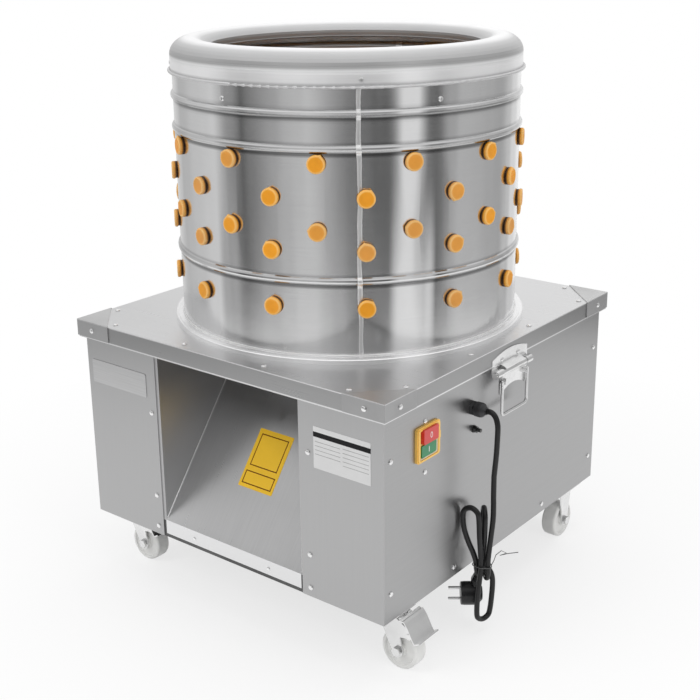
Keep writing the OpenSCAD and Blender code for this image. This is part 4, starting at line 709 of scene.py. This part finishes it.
def plate_places():
    """Upright in rings on the finger plate, with the heads under it."""
    return [about_z((i + 0.5) * 360 / count) @ Matrix.Translation((radius / 1000, 0, PLATE_Z))
            for radius, count in PLATE_RINGS for i in range(count)]


finger_set("drum_finger_set", drum_places(), DRUM_NECK, "machine", "drum_fingers")
finger_set("plate_finger_set", plate_places(), PLATE_NECK, "rotor", "plate_fingers")

# Spray hose under the lid: radius of the tube and of its ring, height, and rough length for its braid
HOSE_R, HOSE_RING, HOSE_Z, HOSE_LENGTH = 0.0085, 0.2635, TRAY_TOP + 0.405, 1.6

# The part of the turn that it covers, in degrees, and its steps and sides
HOSE_START, HOSE_SPAN, HOSE_STEPS, HOSE_SIDES = 96, 348, 200, 20


def make_hose():
    bm = bmesh.new()
    uv = bm.loops.layers.uv.new("UVMap")
    rings = []
    for i in range(HOSE_STEPS + 1):
        degrees = HOSE_START + HOSE_SPAN * i / HOSE_STEPS
        rings.append([bm.verts.new(ring_point(HOSE_RING + u, degrees, HOSE_Z + v))
                      for u, v in circle(HOSE_R, HOSE_SIDES)])
    for i, (low, high) in enumerate(zip(rings, rings[1:])):
        for k in range(HOSE_SIDES):
            j = (k + 1) % HOSE_SIDES
            face = bm.faces.new((low[k], high[k], high[j], low[j]))
            corners = ((i, k), (i + 1, k), (i + 1, k + 1), (i, k + 1))
            for loop, (along, around) in zip(face.loops, corners):
                loop[uv].uv = (along / HOSE_STEPS * HOSE_LENGTH, around / HOSE_SIDES)
    bm.faces.new(rings[0])
    bm.faces.new(rings[-1][::-1])
    hose = made("hose_braid", bm, hose_metal)
    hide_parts("spray_hose")


# The drum wall's seam: its bearing in degrees, and its foot and head in mm above the tray
SEAM_BEARING, SEAM_LOW, SEAM_HIGH = -48.2, 9.0, 399.5

# Its steps up the wall and over a bead, in mm, and its points as shares of its half width
SEAM_STEP, SEAM_FINE = 3.0, 1.2
SEAM_ACROSS = (-1.0, -0.8, -0.45, 0.0, 0.45, 0.8, 1.0)


def wall_r(height):
    """Outer radius of the drum wall in mm, with its rolled beads, at mm above the tray."""
    wall, centre = DRUM_R * 1000, (DRUM_R + BEAD_OUT) * 1000 - BEAD_ARC
    offs = [height - bead for bead in BEADS if abs(height - bead) < BEAD_HALF]
    return max([wall] + [centre + math.sqrt(BEAD_ARC ** 2 - off ** 2) for off in offs])


def seam_heights():
    """Heights in mm above the tray, closer together over the beads."""
    heights, z = [], SEAM_LOW
    while z < SEAM_HIGH:
        heights.append(z)
        z += SEAM_FINE if any(abs(z - bead) < BEAD_HALF + 2 for bead in BEADS) else SEAM_STEP
    return heights + [SEAM_HIGH]


def make_seam():
    """Ground weld down the drum wall: a low, slightly wandering bead."""
    bm = bmesh.new()
    rows, back = [], []
    for z in seam_heights():
        mid = SEAM_BEARING + 0.16 * math.sin(z / 31) + 0.07 * math.sin(z / 9.3 + 1)
        wide = 3.7 + 0.35 * math.sin(z / 17 + 2) + rng.uniform(-0.12, 0.12)
        level = TRAY_TOP + z / 1000
        row = []
        for share in SEAM_ACROSS:
            crown = 0.5 * max(0.0, 1 - abs(share) ** 2.5) - (0.25 if abs(share) == 1 else 0)
            bearing = mid + math.degrees(wide * share / (DRUM_R * 1000))
            row.append(bm.verts.new(ring_point((wall_r(z) + crown) / 1000, bearing, level)))
        rows.append(row)
        edges = [math.degrees(math.atan2(v.co.y, v.co.x)) for v in (row[0], row[-1])]
        back.append([bm.verts.new(ring_point(DRUM_R - 0.0005, bearing, level)) for bearing in edges])
    for low, high in zip(rows, rows[1:]):
        for k in range(len(SEAM_ACROSS) - 1):
            bm.faces.new((low[k], low[k + 1], high[k + 1], high[k]))
    for (low, high), (under, over) in zip(zip(back, back[1:]), zip(rows, rows[1:])):
        bm.faces.new((low[0], high[0], high[1], low[1]))
        bm.faces.new((low[0], under[0], over[0], high[0]))
        bm.faces.new((under[-1], low[1], high[1], over[-1]))
    for row, pair in ((rows[0], back[0]), (rows[-1], back[-1])):
        bm.faces.new([*row, pair[1], pair[0]])
    made("drum_seam", bm, seam_steel)


# The weld round the drum's foot: radius and height over the tray in metres, and its steps, sides and lumps
WELD_R, WELD_UP = 0.0017, 0.0092
WELD_STEPS, WELD_SIDES, WELD_LUMPS = 420, 8, 60


def make_foot_weld():
    """Hand-laid bead where the drum wall meets its foot ring, swelling and thinning as it was laid."""
    bm = bmesh.new()
    rings = []
    lumps = [rng.uniform(-1, 1) for _ in range(WELD_LUMPS)]
    for i in range(WELD_STEPS):
        part = i / WELD_STEPS * WELD_LUMPS
        k = int(part)
        share = (1 - math.cos((part - k) * math.pi)) / 2
        swell = lumps[k] * (1 - share) + lumps[(k + 1) % WELD_LUMPS] * share
        radius = WELD_R + 0.0003 * swell + 0.00012 * math.sin(i * 0.9)
        centre = Vector((DRUM_R + 0.0006 + 0.0004 * swell, 0, TRAY_TOP + WELD_UP))
        turn = about_z(360 * i / WELD_STEPS)
        spots = [centre + Vector((u, 0, v)) for u, v in circle(radius, WELD_SIDES)]
        rings.append([bm.verts.new(turn @ spot) for spot in spots])
    join_rings(bm, rings + [rings[0]], WELD_SIDES)
    made("foot_weld", bm, seam_steel)


# The joints lie this far inside the chute floor's edges; their radius, and their points up the slope
JOINT_IN, JOINT_R, JOINT_STEPS = 0.0007, 0.0009, (0.004, 0.12, 0.24, 0.36)


def make_chute_edges():
    """Sealed joint between the chute's floor and its walls."""
    bm = bmesh.new()
    for x in (side("chute_floor", 0, 0) + JOINT_IN, side("chute_floor", 1, 0) - JOINT_IN):
        start = CHUTE_FOOT + X_AXIS * x + OFF_CHUTE * 0.0003
        sweep(bm, [start + UP_CHUTE * t for t in JOINT_STEPS], JOINT_R, 8)
    made("chute_edges", bm, seam_steel)


make_hose()
make_seam()
make_foot_weld()
make_chute_edges()


# Plates and labels: the lower left corner and the size of each, in metres
NAME_PLATE, NAME_PLATE_SIZE = Vector((-0.294, FRONT_Y - SLIP, 0.339)), (0.127, 0.040)
DATA_LABEL, DATA_LABEL_SIZE = Vector((0.180, FRONT_Y - SLIP, 0.314)), (0.103, 0.065)
CHUTE_LABEL = CHUTE_FOOT + X_AXIS * -0.028 + UP_CHUTE * 0.093 + OFF_CHUTE * SLIP
CHUTE_LABEL_SIZE = (0.071, 0.098)
PLATE_THICK, LABEL_THICK, INK_THICK = 0.0008, 0.0003, 0.00004

# Thickness of printed lines: shares of the chute label's width and height, and of the data label's height
LINE_WIDE, LINE_TALL, RULE_TALL = 0.024, 0.017, 0.014


def outline(width, height, radius, count=6):
    """A rectangle with round corners, counter-clockwise."""
    points = []
    for cx, cy, first in ((width - radius, height - radius, 0), (radius, height - radius, 90),
                          (radius, radius, 180), (width - radius, radius, 270)):
        for k in range(count + 1):
            angle = math.radians(first + 90 * k / count)
            points.append((cx + radius * math.cos(angle), cy + radius * math.sin(angle)))
    return points


def drawn_in(value, centre, taper):
    """A value moved towards the centre, and never past it."""
    return value - math.copysign(min(taper, abs(value - centre)), value - centre)


def slab(bm, points, at, x, y, low, high, ink=0, taper=0.0):
    """Flat piece between two heights over a panel; taper draws its top edge in."""
    out = x.cross(y)
    cx, cy = (sum(p[axis] for p in points) / len(points) for axis in (0, 1))
    foot = [bm.verts.new(at + x * u + y * v + out * low) for u, v in points]
    levels = [foot]
    if taper:
        levels.append([bm.verts.new(at + x * u + y * v + out * (high - taper)) for u, v in points])
    levels.append([bm.verts.new(at + x * drawn_in(u, cx, taper) + y * drawn_in(v, cy, taper) + out * high)
                   for u, v in points])
    faces = [bm.faces.new(levels[-1]), bm.faces.new(foot[::-1])]
    for under, over in zip(levels, levels[1:]):
        for i in range(len(points)):
            j = (i + 1) % len(points)
            faces.append(bm.faces.new((under[i], under[j], over[j], over[i])))
    for face in faces:
        face.material_index = ink


def label(name, at, y, size, thick, mats, bars=(), radius=0.001):
    """A plate or label with plain printed bars.

    A bar is its left, bottom, right and top as shares of the label's size, and its ink's place in mats.
    """
    width, height = size
    bm = bmesh.new()
    slab(bm, outline(width, height, radius), at, X_AXIS, y, 0, thick, 0, min(0.0002, thick * 0.4))
    for left, bottom, right, top, ink in bars:
        corners = ((left, bottom), (right, bottom), (right, top), (left, top))
        points = [(u * width, v * height) for u, v in corners]
        slab(bm, points, at, X_AXIS, y, thick * 0.5, thick + INK_THICK, ink)
    piece = made(name, bm, mats[0], smooth=False)
    for mat in mats[1:]:
        piece.data.materials.append(mat)
    return piece


def frame_bars(left, bottom, right, top):
    """Four bars that make a rectangular line, about as thick across as up."""
    wide, tall = LINE_WIDE, LINE_TALL
    return [(left, bottom, right, bottom + tall, 1), (left, top - tall, right, top, 1),
            (left, bottom, left + wide, top, 1), (right - wide, bottom, right, top, 1)]


def make_labels():
    """The bare name plate, the white label with its rules, and the framed yellow label on the chute floor."""
    plate = label("name_plate", NAME_PLATE, Z_AXIS, NAME_PLATE_SIZE, PLATE_THICK, [plate_steel],
                  radius=0.0025)
    band = (0, 0.755, 1, 0.875, 1)
    rules = [(0.03, v, 0.48, v + RULE_TALL, 2) for v in (0.64, 0.54, 0.44, 0.34)]
    rules += [(0.52, v, 0.97, v + RULE_TALL, 2) for v in (0.66, 0.56, 0.46, 0.36, 0.26)]
    label("data_label", DATA_LABEL, Z_AXIS, DATA_LABEL_SIZE, LABEL_THICK,
          [label_white, label_black, label_grey], [band] + rules)
    label("chute_label", CHUTE_LABEL, UP_CHUTE, CHUTE_LABEL_SIZE, LABEL_THICK, [label_yellow, label_brown],
          frame_bars(0.1, 0.37, 0.9, 0.92) + frame_bars(0.07, 0.06, 0.93, 0.28), radius=0.002)


make_labels()

# Switch: generic 0 and I, and the pale strips beside the buttons, placed from its middle on the panel
SWITCH = Vector((SIDE_X, middle("switch_box", 1), middle("switch_box", 2)))
STOP_OUT, START_OUT = (side(button, 1, 0) - SIDE_X for button in ("stop_button", "start_button"))
MARK_HIGH, ZERO_UP, ZERO_SIDES = 0.00012, 0.0125, 32

# Half widths and half heights of the 0, outside and inside
ZERO_OUTER, ZERO_INNER = (0.0027, 0.0046), (0.0016, 0.0035)


def make_zero():
    """An oval ring, from its outer foot over its face to its inner foot."""
    bm = bmesh.new()
    face = SWITCH + X_AXIS * STOP_OUT + Z_AXIS * ZERO_UP
    rings = []
    for (wide, tall), lift in ((ZERO_OUTER, -SLIP), (ZERO_OUTER, MARK_HIGH),
                               (ZERO_INNER, MARK_HIGH), (ZERO_INNER, -SLIP)):
        middle_point = face + X_AXIS * lift
        rings.append([bm.verts.new(middle_point + Y_AXIS * wide * u + Z_AXIS * tall * v)
                      for u, v in circle(1, ZERO_SIDES)])
    join_rings(bm, rings + [rings[0]], ZERO_SIDES)
    made("stop_mark", bm, mark_white, smooth=False, body="stop_button")


def make_one():
    bm = bmesh.new()
    at = SWITCH + X_AXIS * START_OUT + Y_AXIS * -0.0008 + Z_AXIS * -0.0147
    slab(bm, outline(0.0016, 0.0084, 0.0003, 2), at, Y_AXIS, Z_AXIS, -SLIP, MARK_HIGH)
    made("start_mark", bm, mark_white, smooth=False, body="start_button")


def make_pale_strips():
    """Two strips that meet in the corner beside and below the buttons: across, up, width and height."""
    bm = bmesh.new()
    at = SWITCH + X_AXIS * 0.003
    for across, up, width, height in ((0.0192, -0.0220, 0.0026, 0.0440), (-0.0205, -0.0222, 0.0400, 0.0018)):
        strip = outline(width, height, 0.0006, 3)
        slab(bm, strip, at + Y_AXIS * across + Z_AXIS * up, Y_AXIS, Z_AXIS, -0.0002, 0.0016, 0, 0.0003)
    made("switch_pale_strips", bm, pale_strip_plastic, smooth=False)


make_zero()
make_one()
make_pale_strips()

# Which CAD nodes each material dresses
DRESS = (
    (drum_steel, ("drum_shell",)),
    (flange_steel, ("drum_flange",)),
    (lid_steel, ("drum_lid",)),
    (skirt_steel, ("top_tray",)),
    (side_steel, ("side_panel_right", "side_panel_left")),
    (panel_steel, ("rear_panel", "front_panel_left", "front_panel_right")),
    (chute_steel, ("chute_walls", "chute_header")),
    (floor_steel, ("chute_floor",)),
    (cap_steel, ("corner_caps",)),
    (tray_steel, ("feather_plate", "plate_paddles")),
    (screw_zinc, ("tray_screws", "drum_rivets", "latch_pins")),
    (screw_zinc_panels, ("panel_screws",)),
    (dark_paint, ("base_frame", "motor_beams", "bearing_housing", "motor_plate", "motor_body",
                  "driven_pulley", "motor_pulley")),
    (raw_steel, ("bearings", "drive_shaft", "motor_shaft")),
    (zinc, ("drive_bolts", "hose_clips", "latch_plates", "latch_lever_right", "latch_lever_left",
            "castor_plates", "front_fork_right", "front_fork_left", "rear_forks", "brake_pedal_right",
            "brake_pedal_left")),
    (wire_zinc, ("latch_bail_right", "latch_bail_left")),
    (nylon, ("front_wheel_right", "front_wheel_left", "rear_wheel_right", "rear_wheel_left")),
    (belt_rubber, ("drive_belt",)),
    (hose_metal, ("spray_hose",)),
    (inlet_brass, ("water_inlet",)),
    (black_plastic, ("switch_box", "cable_gland")),
    (yellow_plastic, ("switch_frame",)),
    (red_plastic, ("stop_button",)),
    (green_plastic, ("start_button",)),
    (tie_wire, ("cord_tie",)),
    (plug_black, ("plug",)),
    (amber, ("plate_fingers", "drum_fingers")),
)
for mat, names in DRESS:
    for name in names:
        nodes[name].data.materials.clear()
        nodes[name].data.materials.append(mat)

# Floor, world, surroundings and lamps; first, how much light the room gives to matt surfaces
ROOM = 0.55

# How light the walls are, by bearing in degrees from +X: three dark places with light between, a light back
WALLS = ((-180, 0.5), (-140, 0.7), (-120, 0.1), (-75, 0.6), (-50, 0.2), (-30, 0.1), (-20, 0.8), (-10, 0.8),
         (0, 0.1), (20, 0.5), (60, 0.4), (90, 0.9), (130, 0.9), (180, 0.5))
WALL_R, WALL_H, WALL_STEPS, WALL_FADE = 1.55, 2.1, 180, 0.35

# The floor's share of plain white near the axis, the distances where it starts to rise and is full, and
# the floor's radius
NEAR_WHITE, FLOOR_NEAR, FLOOR_FAR, FLOOR_R = 0.72, 0.35, 1.1, 30


def white_to_views(tree):
    """1 for camera, glossy and transmission rays, 0 for the rest."""
    rays = tree.nodes.new("ShaderNodeLightPath")
    total = rays.outputs["Is Camera Ray"]
    for name in ("Is Glossy Ray", "Is Transmission Ray"):
        node = tree.nodes.new("ShaderNodeMath")
        node.operation = "MAXIMUM"
        tree.links.new(total, node.inputs[0])
        tree.links.new(rays.outputs[name], node.inputs[1])
        total = node.outputs[0]
    return total


def stage_piece(name, bm, mat):
    """The mesh as an object that isn't part of the product."""
    mesh = bpy.data.meshes.new(name)
    bm.to_mesh(mesh)
    bm.free()
    piece = bpy.data.objects.new(name, mesh)
    scene.collection.objects.link(piece)
    mesh.materials.append(mat)
    return piece


def make_floor_paper():
    """Pale paper that keeps the object's shadow, and shows plain white further out."""
    mat = material("floor_paper", (0.9, 0.9, 0.9), 0.0, 0.9, specular=0.0)
    glow = add(mat, "ShaderNodeEmission")
    glow.inputs["Strength"].default_value = 1.0
    x, y, _ = split(mat, position(mat))
    share = spread(mat, from_axis(mat, x, y), NEAR_WHITE, 1.0, FLOOR_NEAR, FLOOR_FAR)
    mixer = add(mat, "ShaderNodeMixShader")
    link(mat, maths(mat, "MULTIPLY", white_to_views(mat.node_tree), share), mixer.inputs[0])
    link(mat, shader(mat).outputs[0], mixer.inputs[1])
    link(mat, glow.outputs[0], mixer.inputs[2])
    link(mat, mixer.outputs[0], mat.node_tree.nodes["Material Output"].inputs["Surface"])
    return mat


def make_floor():
    """The paper lies half a millimetre under the wheels."""
    bm = bmesh.new()
    bmesh.ops.create_circle(bm, cap_ends=True, radius=FLOOR_R, segments=64)
    floor = stage_piece("floor", bm, make_floor_paper())
    floor.location = (0, 0, -0.0005)


def make_world():
    """A white room; it lights matt surfaces about half as much as it shows in polished ones."""
    world = bpy.data.worlds.new("studio")
    scene.world = world
    world.use_nodes = True
    tree = world.node_tree
    tree.nodes.clear()
    mixer = tree.nodes.new("ShaderNodeMixShader")
    tree.links.new(white_to_views(tree), mixer.inputs[0])
    for level, socket in ((ROOM, mixer.inputs[1]), (1, mixer.inputs[2])):
        background = tree.nodes.new("ShaderNodeBackground")
        background.inputs["Color"].default_value = (*even(level), 1)
        tree.links.new(background.outputs[0], socket)
    surface = tree.nodes.new("ShaderNodeOutputWorld").inputs["Surface"]
    tree.links.new(mixer.outputs[0], surface)


def make_walls():
    """Light by bearing, going over to white above a share of the walls' height."""
    mat = bpy.data.materials.new("surround")
    mat.use_nodes = True
    mat.node_tree.nodes.clear()
    bearing, height, _ = split(mat, add(mat, "ShaderNodeTexCoord").outputs["UV"])
    walls = ramp(mat, bearing, [((degrees + 180) / 360, even(level)) for degrees, level in WALLS])
    mixer = add(mat, "ShaderNodeMix", data_type="RGBA")
    link(mat, spread(mat, height, 0.0, 1.0, WALL_FADE, 1.0), mixer.inputs["Factor"])
    link(mat, walls, mixer.inputs["A"])
    mixer.inputs["B"].default_value = (1, 1, 1, 1)
    glow = add(mat, "ShaderNodeEmission")
    link(mat, mixer.outputs["Result"], glow.inputs["Color"])
    link(mat, glow.outputs[0], add(mat, "ShaderNodeOutputMaterial").inputs["Surface"])
    return mat


def make_surround():
    """Light and dark walls round the object, for polished steel to mirror; only glossy rays see them."""
    bm = bmesh.new()
    uv = bm.loops.layers.uv.new("UVMap")
    columns = [[bm.verts.new(ring_point(WALL_R, -180 + 360 * i / WALL_STEPS, z)) for z in (0.0, WALL_H)]
               for i in range(WALL_STEPS)]
    for i, (low, high) in enumerate(columns):
        next_low, next_high = columns[(i + 1) % WALL_STEPS]
        face = bm.faces.new((low, next_low, next_high, high))
        for loop, corner in zip(face.loops, ((i, 0), (i + 1, 0), (i + 1, 1), (i, 1))):
            loop[uv].uv = (corner[0] / WALL_STEPS, corner[1])
    ring = stage_piece("surround", bm, make_walls())
    ring.visible_camera = ring.visible_diffuse = ring.visible_shadow = ring.visible_transmission = False


def lamp(name, place, aim, size, power):
    """A square soft light, not mirrored in glossy surfaces."""
    data = bpy.data.lights.new(name, "AREA")
    data.shape, data.size, data.energy = "SQUARE", size, power
    light = bpy.data.objects.new(name, data)
    scene.collection.objects.link(light)
    light.location = place
    light.rotation_mode = "QUATERNION"
    light.rotation_quaternion = (Vector(aim) - Vector(place)).to_track_quat("-Z", "Y")
    light.visible_glossy = False


make_floor()
make_world()
make_surround()
lamp("key", (-1.2, -2.6, 2.6), (0, 0, 0.5), 1.6, 36)
lamp("fill", (2.8, -0.6, 1.8), (0, 0, 0.4), 1.8, 20)
lamp("top", (0.2, 0.4, 3.4), (0, 0, 0.5), 2.2, 40)
scene.view_settings.view_transform = "Standard"
